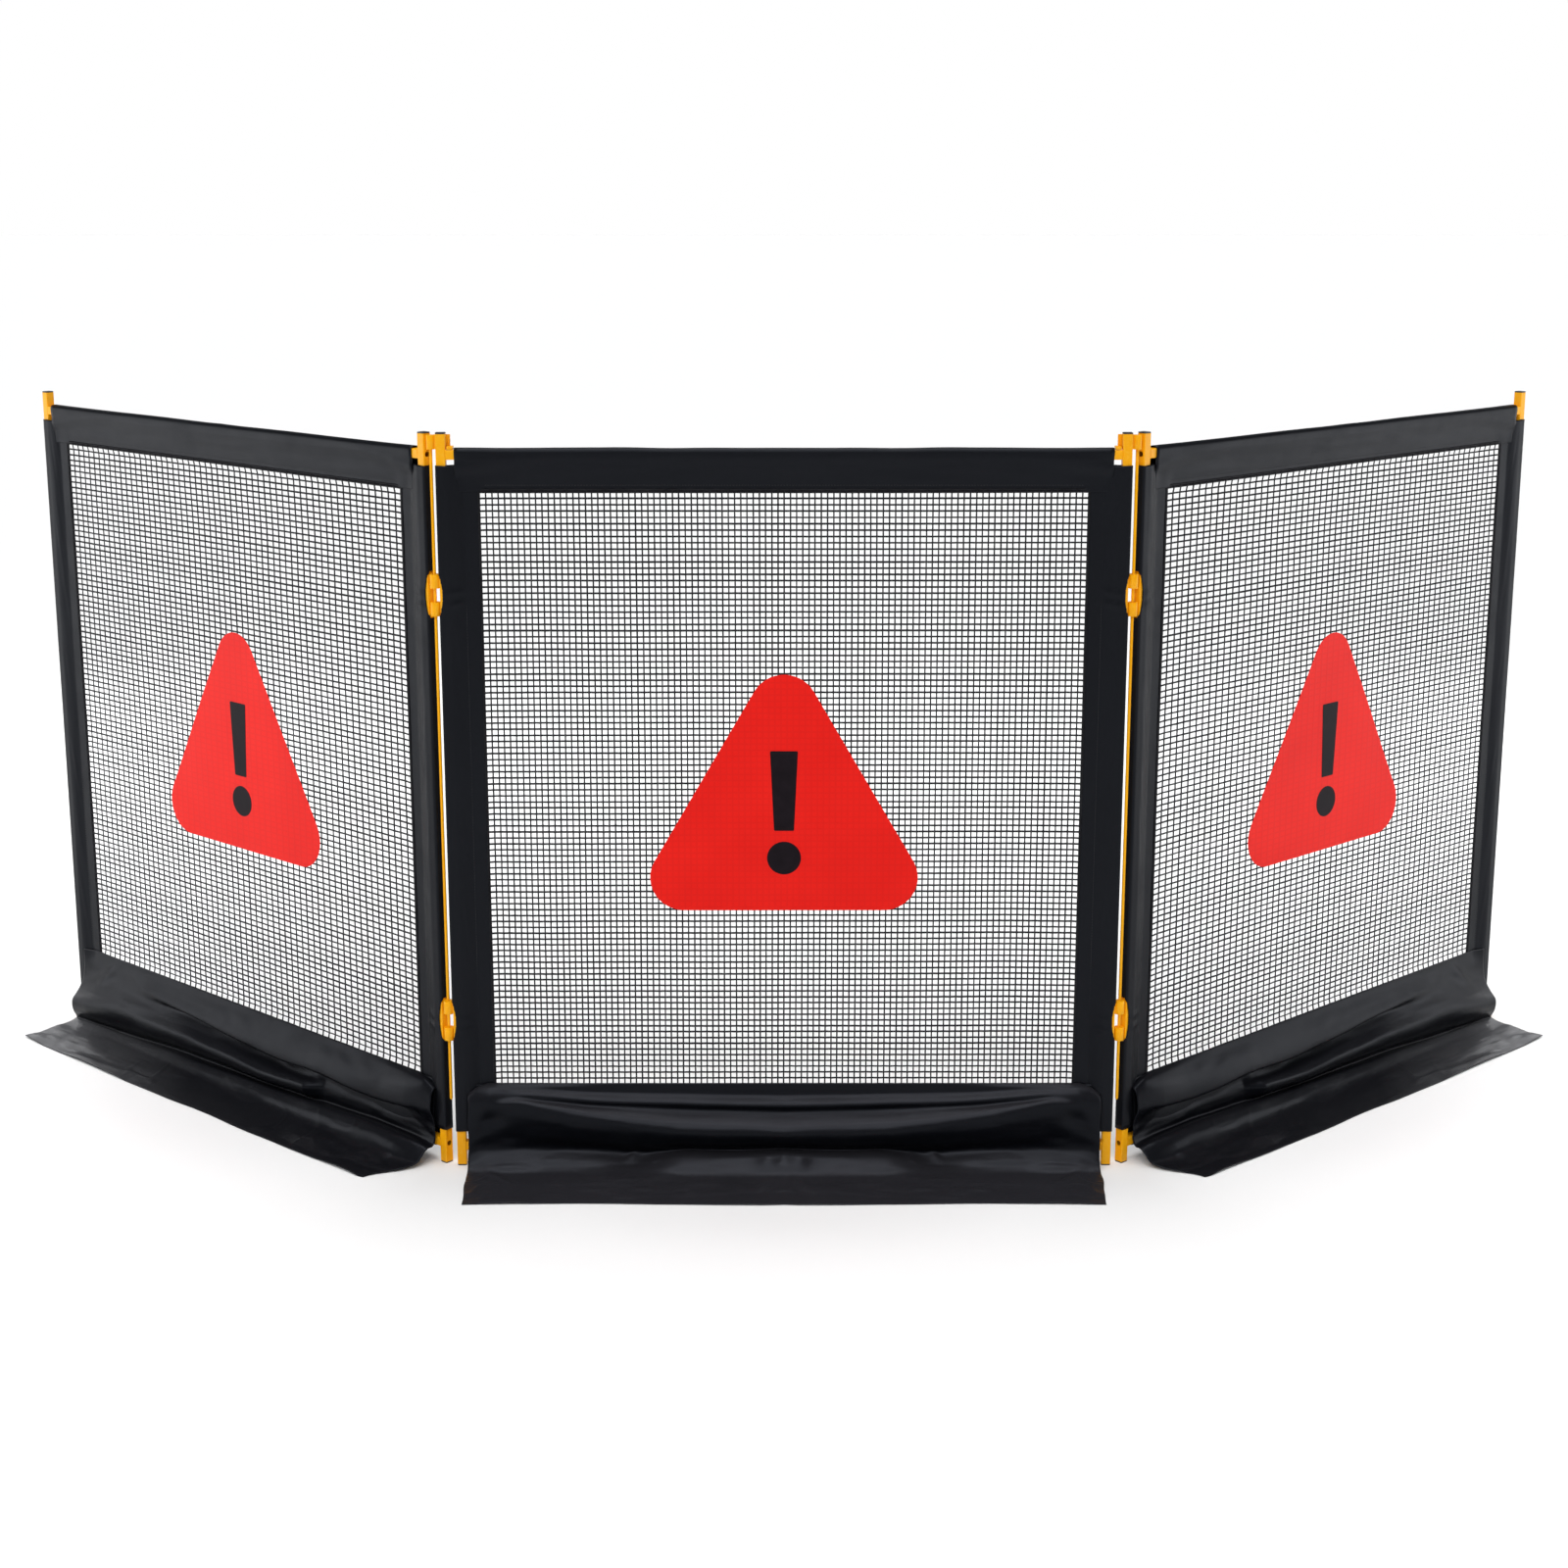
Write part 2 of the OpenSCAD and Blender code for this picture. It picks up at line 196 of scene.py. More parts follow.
def resample(points, n, closed=False):
    """n points evenly along a smooth line through the given ones."""
    p = np.asarray(points, float)
    fine = []
    k = len(p)
    ext = np.vstack([2 * p[0] - p[1], p, 2 * p[-1] - p[-2]])
    for i in range(k - 1):
        p0, p1, p2, p3 = ext[i], ext[i + 1], ext[i + 2], ext[i + 3]
        t = np.linspace(0, 1, 24, endpoint=False)[:, None]
        d1 = (p2 - p0) * 0.5
        d2 = (p3 - p1) * 0.5
        seg = np.linalg.norm(p2 - p1)
        for d in (d1, d2):  # keep tangents from overshooting short spans
            ln = np.linalg.norm(d)
            if ln > 1.1 * seg:
                d *= 1.1 * seg / ln
        h00, h10 = 2 * t**3 - 3 * t**2 + 1, t**3 - 2 * t**2 + t
        h01, h11 = -2 * t**3 + 3 * t**2, t**3 - t**2
        fine.append(h00 * p1 + h10 * d1 + h01 * p2 + h11 * d2)
    fine = np.vstack(fine + [p[-1:]])
    s = np.concatenate([[0], np.cumsum(np.linalg.norm(np.diff(fine, axis=0), axis=1))])
    at = np.linspace(0, s[-1], n)
    return np.stack([np.interp(at, s, fine[:, c]) for c in range(p.shape[1])], 1), s[-1]


# --------------------------------------------------------------- materials
def new_mat(name):
    m = bpy.data.materials.new(name)
    m.use_nodes = True
    nt = m.node_tree
    b = nt.nodes["Principled BSDF"]
    return m, nt, b


def node(nt, kind, **kw):
    n = nt.nodes.new(kind)
    for k, v in kw.items():
        if k in n.inputs:
            n.inputs[k].default_value = v
        else:
            setattr(n, k, v)
    return n


def ramp(nt, fac, stops):
    r = nt.nodes.new("ShaderNodeValToRGB")
    el = r.color_ramp.elements
    el[0].position, el[0].color = stops[0][0], (*stops[0][1], 1)
    el[1].position, el[1].color = stops[-1][0], (*stops[-1][1], 1)
    for p, c in stops[1:-1]:
        e = el.new(p)
        e.color = (*c, 1)
    nt.links.new(fac, r.inputs["Fac"])
    return r.outputs["Color"]


def tex(nt, kind, scale, vec, **kw):
    n = node(nt, kind, Scale=scale, **kw)
    nt.links.new(vec, n.inputs["Vector"])
    return n


def mathn(nt, op, a, b=None):
    n = nt.nodes.new("ShaderNodeMath")
    n.operation = op
    for i, x in enumerate((a, b)):
        if x is None:
            continue
        if isinstance(x, (int, float)):
            n.inputs[i].default_value = x
        else:
            nt.links.new(x, n.inputs[i])
    return n.outputs[0]


def mixc(nt, fac, a, b, mode="MIX"):
    n = nt.nodes.new("ShaderNodeMix")
    n.data_type = "RGBA"
    n.blend_type = mode
    for sock, x in ((n.inputs["Factor"], fac), (n.inputs[6], a), (n.inputs[7], b)):
        if isinstance(x, (int, float)):
            sock.default_value = x
        elif isinstance(x, tuple):
            sock.default_value = (*x, 1)
        else:
            nt.links.new(x, sock)
    return n.outputs[2]


def bump(nt, b, height, strength, distance):
    n = node(nt, "ShaderNodeBump", Strength=strength, Distance=distance)
    nt.links.new(height, n.inputs["Height"])
    nt.links.new(n.outputs["Normal"], b.inputs["Normal"])
    return n


def powder_yellow():
    m, nt, b = new_mat("powder_yellow")
    v = nt.nodes.new("ShaderNodeTexCoord").outputs["Object"]
    big = tex(nt, "ShaderNodeTexNoise", 3.0, v, Detail=3.0)
    fine = tex(nt, "ShaderNodeTexNoise", 900.0, v, Detail=2.0)
    speck = tex(nt, "ShaderNodeTexNoise", 160.0, v, Detail=6.0, Roughness=0.7)
    col = ramp(nt, big.outputs["Fac"], [(0.3, (0.93, 0.395, 0.0012)), (0.7, (0.97, 0.44, 0.002))])
    scuff = ramp(nt, speck.outputs["Fac"], [(0.66, (0, 0, 0)), (0.74, (1, 1, 1))])
    col = mixc(nt, mathn(nt, "MULTIPLY", scuff, 0.35), col, (0.62, 0.30, 0.03))
    # worn along the edges, where the powder lies thin
    geo = nt.nodes.new("ShaderNodeNewGeometry")
    edge = ramp(nt, geo.outputs["Pointiness"], [(0.52, (0, 0, 0)), (0.60, (1, 1, 1))])
    worn = mathn(nt, "MULTIPLY", edge, ramp(nt, speck.outputs["Fac"], [(0.5, (0, 0, 0)), (0.62, (1, 1, 1))]))
    col = mixc(nt, mathn(nt, "MULTIPLY", worn, 0.6), col, (0.98, 0.60, 0.07))
    # a little dust near the floor
    sep = nt.nodes.new("ShaderNodeSeparateXYZ")
    nt.links.new(v, sep.inputs[0])
    low = mathn(nt, "SUBTRACT", 1.0, mathn(nt, "MULTIPLY", sep.outputs["Z"], 14.0))
    low = mathn(nt, "MAXIMUM", low, 0.0)
    col = mixc(nt, mathn(nt, "MULTIPLY", low, mathn(nt, "MULTIPLY", big.outputs["Fac"], 0.30)), col, (0.52, 0.24, 0.012))
    nt.links.new(col, b.inputs["Base Color"])
    r = mathn(nt, "ADD", 0.27, mathn(nt, "MULTIPLY", big.outputs["Fac"], 0.16))
    nt.links.new(r, b.inputs["Roughness"])
    b.inputs["Specular IOR Level"].default_value = 0.16
    b.inputs["Coat Weight"].default_value = 0.04
    b.inputs["Coat Roughness"].default_value = 0.18
    bump(nt, b, fine.outputs["Fac"], 0.18, 0.0003)
    return m


def vinyl(name="vinyl_black", tint=(0.0036, 0.0039, 0.0052), rough=0.36, gloss=0.155, dust_and_top_light=None, tip_sheen=False):
    m, nt, b = new_mat(name)
    v = nt.nodes.new("ShaderNodeTexCoord").outputs["Object"]
    big = tex(nt, "ShaderNodeTexNoise", 4.0, v, Detail=4.0)
    mid = tex(nt, "ShaderNodeTexNoise", 38.0, v, Detail=5.0, Roughness=0.6)
    grain = tex(nt, "ShaderNodeTexVoronoi", 620.0, v)
    dust = tex(nt, "ShaderNodeTexNoise", 9.0, v, Detail=8.0, Roughness=0.72)
    light = tuple(c * 1.5 + 0.002 for c in tint)
    col = ramp(nt, big.outputs["Fac"], [(0.32, tint), (0.72, tuple(c * 1.25 for c in tint))])
    d = ramp(nt, dust.outputs["Fac"], [(0.52, (0, 0, 0)), (0.72, (1, 1, 1))])
    col = mixc(nt, mathn(nt, "MULTIPLY", d, 0.45), col, light)
    # floor dust
    sep = nt.nodes.new("ShaderNodeSeparateXYZ")
    nt.links.new(v, sep.inputs[0])
    low = mathn(nt, "MAXIMUM", mathn(nt, "SUBTRACT", 1.0, mathn(nt, "MULTIPLY", sep.outputs["Z"], 40.0)), 0.0)
    col = mixc(nt, mathn(nt, "MULTIPLY", low, mathn(nt, "MULTIPLY", d, 0.10)), col, (0.05, 0.05, 0.052))
    if dust_and_top_light:
        # fine dust plus painted top light on whatever faces up; on the side laps' outer ends a painted sheen is added
        geo = nt.nodes.new("ShaderNodeNewGeometry")
        gs = nt.nodes.new("ShaderNodeSeparateXYZ")
        nt.links.new(geo.outputs["Normal"], gs.inputs[0])
        up = ramp(nt, gs.outputs["Z"], [(0.12, (0, 0, 0)), (0.80, (1, 1, 1))])
        patch = mathn(nt, "ADD", 0.62, mathn(nt, "MULTIPLY", big.outputs["Fac"], 0.55))
        col = mixc(nt, mathn(nt, "MULTIPLY", up, patch), col, dust_and_top_light)
        if tip_sheen:
            # painted sheen: upward faces grow lighter towards the side laps' outer ends, far out along X
            tip = mathn(nt, "DIVIDE", mathn(nt, "SUBTRACT", mathn(nt, "ABSOLUTE", sep.outputs["X"]), 1.06), 0.40)
            tip = ramp(nt, tip, [(0.0, (0, 0, 0)), (0.55, (0.28, 0.28, 0.28)), (1.0, (1, 1, 1))])
            col = mixc(nt, mathn(nt, "MULTIPLY", tip, up), col, (0.105, 0.106, 0.112))
    nt.links.new(col, b.inputs["Base Color"])
    r = mathn(nt, "ADD", rough, mathn(nt, "MULTIPLY", mid.outputs["Fac"], 0.12))
    r = mathn(nt, "ADD", r, mathn(nt, "MULTIPLY", d, 0.10))
    nt.links.new(r, b.inputs["Roughness"])
    b.inputs["Specular IOR Level"].default_value = gloss
    b.inputs["Specular Tint"].default_value = (0.80, 0.86, 1.0, 1)
    h = mathn(nt, "ADD", mathn(nt, "MULTIPLY", grain.outputs["Distance"], 0.6), mathn(nt, "MULTIPLY", mid.outputs["Fac"], 1.0))
    bump(nt, b, h, 0.22, 0.0006)
    return m


def strand():
    m, nt, b = new_mat("net_strand")
    v = nt.nodes.new("ShaderNodeTexCoord").outputs["Object"]
    n = tex(nt, "ShaderNodeTexNoise", 22.0, v, Detail=5.0)
    f = tex(nt, "ShaderNodeTexNoise", 700.0, v, Detail=2.0)
    col = ramp(nt, n.outputs["Fac"], [(0.3, (0.008, 0.008, 0.010)), (0.7, (0.019, 0.019, 0.022))])
    nt.links.new(col, b.inputs["Base Color"])
    nt.links.new(mathn(nt, "ADD", 0.50, mathn(nt, "MULTIPLY", n.outputs["Fac"], 0.2)), b.inputs["Roughness"])
    b.inputs["Specular IOR Level"].default_value = 0.11
    bump(nt, b, f.outputs["Fac"], 0.3, 0.0003)
    return m


def print_red():
    """Thin red vinyl with the net printing through it as a faint square relief."""
    m, nt, b = new_mat("print_red")
    v = nt.nodes.new("ShaderNodeTexCoord").outputs["UV"]
    sep = nt.nodes.new("ShaderNodeSeparateXYZ")
    nt.links.new(v, sep.inputs[0])

    def line(sock, pitch):
        s = mathn(nt, "FRACT", mathn(nt, "DIVIDE", sock, pitch))
        s = mathn(nt, "ABSOLUTE", mathn(nt, "SUBTRACT", s, 0.5))
        return ramp(nt, s, [(0.0, (1, 1, 1)), (0.22, (0, 0, 0))])

    # U and V carry millimetres / 1000 from the panel's edge and the floor
    gx = line(sep.outputs["X"], NET_PX)
    gz = line(sep.outputs["Y"], NET_PZ)
    grid = mathn(nt, "MAXIMUM", gx, gz)
    vo = nt.nodes.new("ShaderNodeTexCoord").outputs["Object"]
    big = tex(nt, "ShaderNodeTexNoise", 7.0, vo, Detail=3.0)
    fine = tex(nt, "ShaderNodeTexNoise", 260.0, vo, Detail=4.0)
    col = ramp(nt, big.outputs["Fac"], [(0.3, (0.80, 0.009, 0.005)), (0.7, (0.88, 0.013, 0.007))])
    col = mixc(nt, mathn(nt, "MULTIPLY", grid, 0.22), col, (0.60, 0.008, 0.008))
    nt.links.new(col, b.inputs["Base Color"])
    nt.links.new(mathn(nt, "ADD", 0.40, mathn(nt, "MULTIPLY", fine.outputs["Fac"], 0.12)), b.inputs["Roughness"])
    b.inputs["Specular IOR Level"].default_value = 0.12
    h = mathn(nt, "ADD", grid, mathn(nt, "MULTIPLY", fine.outputs["Fac"], 0.25))
    bump(nt, b, h, 0.25, 0.0004)
    return m


def print_dark():
    m, nt, b = new_mat("print_dark")
    v = nt.nodes.new("ShaderNodeTexCoord").outputs["Object"]
    n = tex(nt, "ShaderNodeTexNoise", 60.0, v, Detail=5.0)
    f = tex(nt, "ShaderNodeTexNoise", 420.0, v, Detail=3.0)
    nt.links.new(ramp(nt, n.outputs["Fac"], [(0.3, (0.0075, 0.0048, 0.0072)), (0.7, (0.0115, 0.0078, 0.0110))]), b.inputs["Base Color"])
    nt.links.new(mathn(nt, "ADD", 0.36, mathn(nt, "MULTIPLY", n.outputs["Fac"], 0.15)), b.inputs["Roughness"])
    b.inputs["Specular IOR Level"].default_value = 0.07
    bump(nt, b, f.outputs["Fac"], 0.2, 0.0003)
    return m


def moulded():
    m, nt, b = new_mat("moulded_black")
    v = nt.nodes.new("ShaderNodeTexCoord").outputs["Object"]
    n = tex(nt, "ShaderNodeTexNoise", 90.0, v, Detail=4.0)
    f = tex(nt, "ShaderNodeTexVoronoi", 1500.0, v)
    nt.links.new(ramp(nt, n.outputs["Fac"], [(0.3, (0.016, 0.016, 0.018)), (0.7, (0.032, 0.032, 0.034))]), b.inputs["Base Color"])
    nt.links.new(mathn(nt, "ADD", 0.42, mathn(nt, "MULTIPLY", n.outputs["Fac"], 0.2)), b.inputs["Roughness"])
    bump(nt, b, f.outputs["Distance"], 0.25, 0.0003)
    return m


def zinc():
    m, nt, b = new_mat("zinc_steel")
    v = nt.nodes.new("ShaderNodeTexCoord").outputs["Object"]
    n = tex(nt, "ShaderNodeTexNoise", 120.0, v, Detail=5.0)
    nt.links.new(ramp(nt, n.outputs["Fac"], [(0.3, (0.50, 0.51, 0.52)), (0.7, (0.72, 0.72, 0.70))]), b.inputs["Base Color"])
    b.inputs["Metallic"].default_value = 1.0
    nt.links.new(mathn(nt, "ADD", 0.26, mathn(nt, "MULTIPLY", n.outputs["Fac"], 0.2)), b.inputs["Roughness"])
    bump(nt, b, n.outputs["Fac"], 0.15, 0.0002)
    return m


def thread():
    m, nt, b = new_mat("thread_black")
    v = nt.nodes.new("ShaderNodeTexCoord").outputs["Object"]
    n = tex(nt, "ShaderNodeTexNoise", 500.0, v, Detail=3.0)
    nt.links.new(ramp(nt, n.outputs["Fac"], [(0.3, (0.008, 0.008, 0.010)), (0.7, (0.020, 0.020, 0.023))]), b.inputs["Base Color"])
    nt.links.new(mathn(nt, "ADD", 0.55, mathn(nt, "MULTIPLY", n.outputs["Fac"], 0.2)), b.inputs["Roughness"])
    bump(nt, b, n.outputs["Fac"], 0.3, 0.0003)
    return m


# ----------------------------------------------------------------- the net
NX = round((NET[1] - NET[0]) / 0.00963)
NX_SIDE = 58  # the side panels' net is wider in the weft
NZ = round((NET[3] - NET[2]) / 0.00986)
NET_PX = (NET[1] - NET[0]) / NX
NET_PZ = (NET[3] - NET[2]) / NZ
WIDE_V, WIDE_H = 0.0024, 0.0030  # upright and level strands
STRIP_X, STRIP_Z = 0.0016, 0.0034  # the net's last strands, out from the window's edge

YELLOW, VINYL, STRAND, RED, DARK = powder_yellow(), vinyl(), strand(), print_red(), print_dark()
PLASTIC, ZINC, THREAD = moulded(), zinc(), thread()
# the last colour of each is dust plus painted top light for upward faces, stronger on the middle skirt; the side one
# also takes the painted sheen at its outer ends
VINYL_SKIRT = {
    "c": vinyl("vinyl_skirt_middle", (0.0024, 0.0026, 0.0038), 0.28, 0.15, (0.0195, 0.0190, 0.0225)),
    "side": vinyl("vinyl_skirt_side", (0.0026, 0.0028, 0.0040), 0.27, 0.14, (0.0055, 0.0056, 0.0072), tip_sheen=True),
}


def net_y(x, z, seed):
    """The net's middle surface: slack in the window, and over the hem's front at its edges."""
    in_x, in_z = np.minimum(x - NET[0], NET[1] - x), np.minimum(z - NET[2], NET[3] - z)
    inside = np.minimum(in_x, in_z)
    over = np.maximum(1 - step(0.0014, 0.0100, in_x), 1 - step(0.0008, 0.0095, in_z))
    calm = step(0.0, 0.12, inside)
    slack = 0.0022 * fbm(x * 3.1, z * 2.3, seed, 2) * calm
    return -0.00185 * over + slack


def make_net(panel, seed):
    # whole cells: the strands cross at NET_PX x NET_PZ, one strand beyond the window each way
    nx = NX if panel == "c" else NX_SIDE
    ix = np.arange(-1, nx + 2)
    iz = np.arange(-1, NZ + 2)
    X0 = NET[0] + ix * (NET[1] - NET[0]) / nx
    Z0 = NET[2] + iz * NET_PZ
    X0 = np.unique(np.clip(X0, NET[0] - STRIP_X, NET[1] + STRIP_X))
    Z0 = np.unique(np.clip(Z0, NET[2] - STRIP_Z, NET[3] + STRIP_Z))
    rng = np.random.default_rng(seed)
    jx = rng.normal(0, 0.00018, len(X0))
    jz = rng.normal(0, 0.00016, len(Z0))
    XX, ZZ = np.meshgrid(X0, Z0, indexing="ij")
    cx = XX + jx[:, None] + 0.00035 * noise(XX * 9 + seed, ZZ * 3.3, seed + 3) + 0.0009 * noise(XX * 2.2, ZZ * 1.3, seed + 4)
    cz = ZZ + jz[None, :] + 0.00030 * noise(XX * 3.3, ZZ * 9 + seed, seed + 5) + 0.0009 * noise(XX * 1.5, ZZ * 2.1, seed + 6)
    y = net_y(cx, cz, seed)
    alt = np.where((np.arange(len(X0))[:, None] + np.arange(len(Z0))[None, :]) % 2 == 0, 1.0, -1.0)
    amp, amp_v = 0.00036, 0.00036 if panel == "c" else 0.0001
    out_v, out_q, base = [], [], 0

    def strands(cx, cy, cz, horizontal, wide, deep):
        """Four-sided strands along axis 1 of the arrays."""
        nonlocal base
        n, m = cx.shape
        ring = []
        for k, (a, c) in enumerate(((1, 0), (0, -1), (-1, 0), (0, 1))):
            if horizontal:
                ring.append(np.stack([cx, cy + c * deep / 2, cz + a * wide / 2], -1))
            else:
                ring.append(np.stack([cx + a * wide / 2, cy + c * deep / 2, cz], -1))
        V = np.stack(ring, 2)  # n, m, 4, 3
        idx = base + np.arange(n * m * 4).reshape(n, m, 4)
        qs = []
        for k in range(4):
            k2 = (k + 1) % 4
            a, b_ = idx[:, :-1, k], idx[:, 1:, k]
            c, d = idx[:, 1:, k2], idx[:, :-1, k2]
            f = np.stack([a, b_, c, d], -1) if horizontal else np.stack([a, d, c, b_], -1)
            qs.append(f.reshape(-1, 4))
        caps0 = idx[:, 0, :]
        caps1 = idx[:, -1, ::-1]
        if not horizontal:
            caps0, caps1 = caps0[:, ::-1], caps1[:, ::-1]
        qs += [caps0[:, ::-1], caps1[:, ::-1]]
        out_v.append(V.reshape(-1, 3))
        out_q.append(np.concatenate(qs))
        base += n * m * 4

    wide_v, deep_v = (WIDE_V, 0.0011) if panel == "c" else (0.0038, 0.0018)
    vw = wide_v + rng.normal(0, 0.00014, len(X0))[:, None] * np.ones_like(cx)
    hw = WIDE_H + rng.normal(0, 0.00016, len(Z0))[None, :] * np.ones_like(cx)
    strands(cx, y + amp_v * alt, cz, False, vw, deep_v)
    strands(cx.T, (y - amp * alt).T, cz.T, True, hw.T, 0.0011)
    v = np.concatenate(out_v)
    q = np.concatenate(out_q)
    ob = build(f"{panel}_net_mesh", v, q, panel, mats=(STRAND,))
    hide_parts(f"{panel}_net")
    return ob


# ----------------------------------------------------- sleeves of the cover
T = 0.0008  # vinyl thickness


def make_rail_sleeve(panel, top, seed):
    z0 = RAIL_T if top else RAIL_B
    d = -1 if top else 1
    z_end = NET[3] if top else NET[2]
    seam = z_end + 9 * MM if top else z_end - 12 * MM
    r = TUBE / 2
    half = [
        (-0.95, (z_end - 0.0) * 1000),
        (-0.95, (z_end * 1000 + seam * 1000) / 2),
        (-1.0, seam * 1000),
        (-1.7, seam * 1000 - d * 4),
        (-5.2, (seam * 1000 - d * 4) * 0.45 + (z0 * 1000 + d * 8.6) * 0.55),
        (-8.2, z0 * 1000 + d * 8.6),
        (-8.9, z0 * 1000 + d * 5),
        (-8.9, z0 * 1000 - d * 3.5),
        (-8.0, z0 * 1000 - d * 7.4),
        (-5.2, z0 * 1000 - d * 9.6),
    ]
    prof = np.array(half + [(0, z0 * 1000 - d * 10.1)] + [(-y, z) for y, z in reversed(half)]) * MM
    n = 72
    line, girth = resample(prof, n)
    m = 150
    x = np.linspace(SLV_X, W - SLV_X, m)
    P = np.zeros((m, n, 3))
    P[:, :, 0] = x[:, None]
    P[:, :, 1] = line[None, :, 0]
    P[:, :, 2] = line[None, :, 1]
    s = np.linspace(0, 1, n)
    free = np.exp(-(((s - 0.25) / 0.13) ** 2)) + np.exp(-(((s - 0.75) / 0.13) ** 2))  # the slack slopes
    e = np.minimum(x - x[0], x[-1] - x)
    sx = np.minimum(x, W - x)
    # long soft undulations, and drag lines that run down from the rail's ends
    w = 0.0015 * fbm(sx[:, None] * 5.5, s[None, :] * 4 + seed, seed, 3)
    drag = np.sin((sx[:, None] * 30 + np.abs(s[None, :] - 0.5) * 26)) * np.exp(-e[:, None] / 0.11)
    w = w + 0.0017 * drag
    nrm = normals_of(P)
    P = P + nrm * (w * free[None, :])[..., None] * np.sign(-nrm[:, :, 1:2] * P[:, :, 1:2] * -1 + 1e-9)
    # the rounded top sits lightly on the rail and sags between
    cap = np.exp(-(((s - 0.5) / 0.09) ** 2))
    P[:, :, 2] += -d * (0.0006 * fbm(sx[:, None] * 8, s[None, :] * 2, seed + 9, 2) * cap[None, :])
    # at its ends the band lies over the post sleeves' slope
    hx = [0.0, 0.0172, 0.027, 0.0375, 0.041, 0.047, 0.0658, 0.0710]
    hy = [0.0083, 0.0083, 0.0058, 0.0030, 0.0022, 0.00195, 0.00190, 0.0]
    under = np.interp(sx, hx, hy)[:, None] * (np.abs(s - 0.5) > 0.10)[None, :]
    deep = np.abs(P[:, :, 1])
    k = 0.0012
    full = k * np.logaddexp(deep / k, under / k)
    full = np.where(under > 0, np.minimum(full, 0.00905), deep)
    P[:, :, 1] = np.where(P[:, :, 1] < 0, -1.0, 1.0) * np.maximum(full, deep)
    # cut ends are not quite straight
    for i, k in ((0, -1), (m - 1, 1)):
        P[i, :, 0] += k * 0.0008 * noise(s * 9, np.full(n, 3.3 + i), seed + 5)
    # the band's free edge by the window waves a little
    edge = np.exp(-((s / 0.02) ** 2)) + np.exp(-(((1 - s) / 0.02) ** 2))
    P[:, :, 2] += edge[None, :] * 0.0005 * noise(x[:, None] * 40, s[None, :] * 2, seed + 6)
    v, q = thick(P, T)
    name = f"{panel}_net_cover_{'top' if top else 'bottom'}"
    ob = build(name, v, q, panel, mats=(VINYL,))
    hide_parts(f"{panel}_{'top' if top else 'bottom'}_sleeve")
    return ob


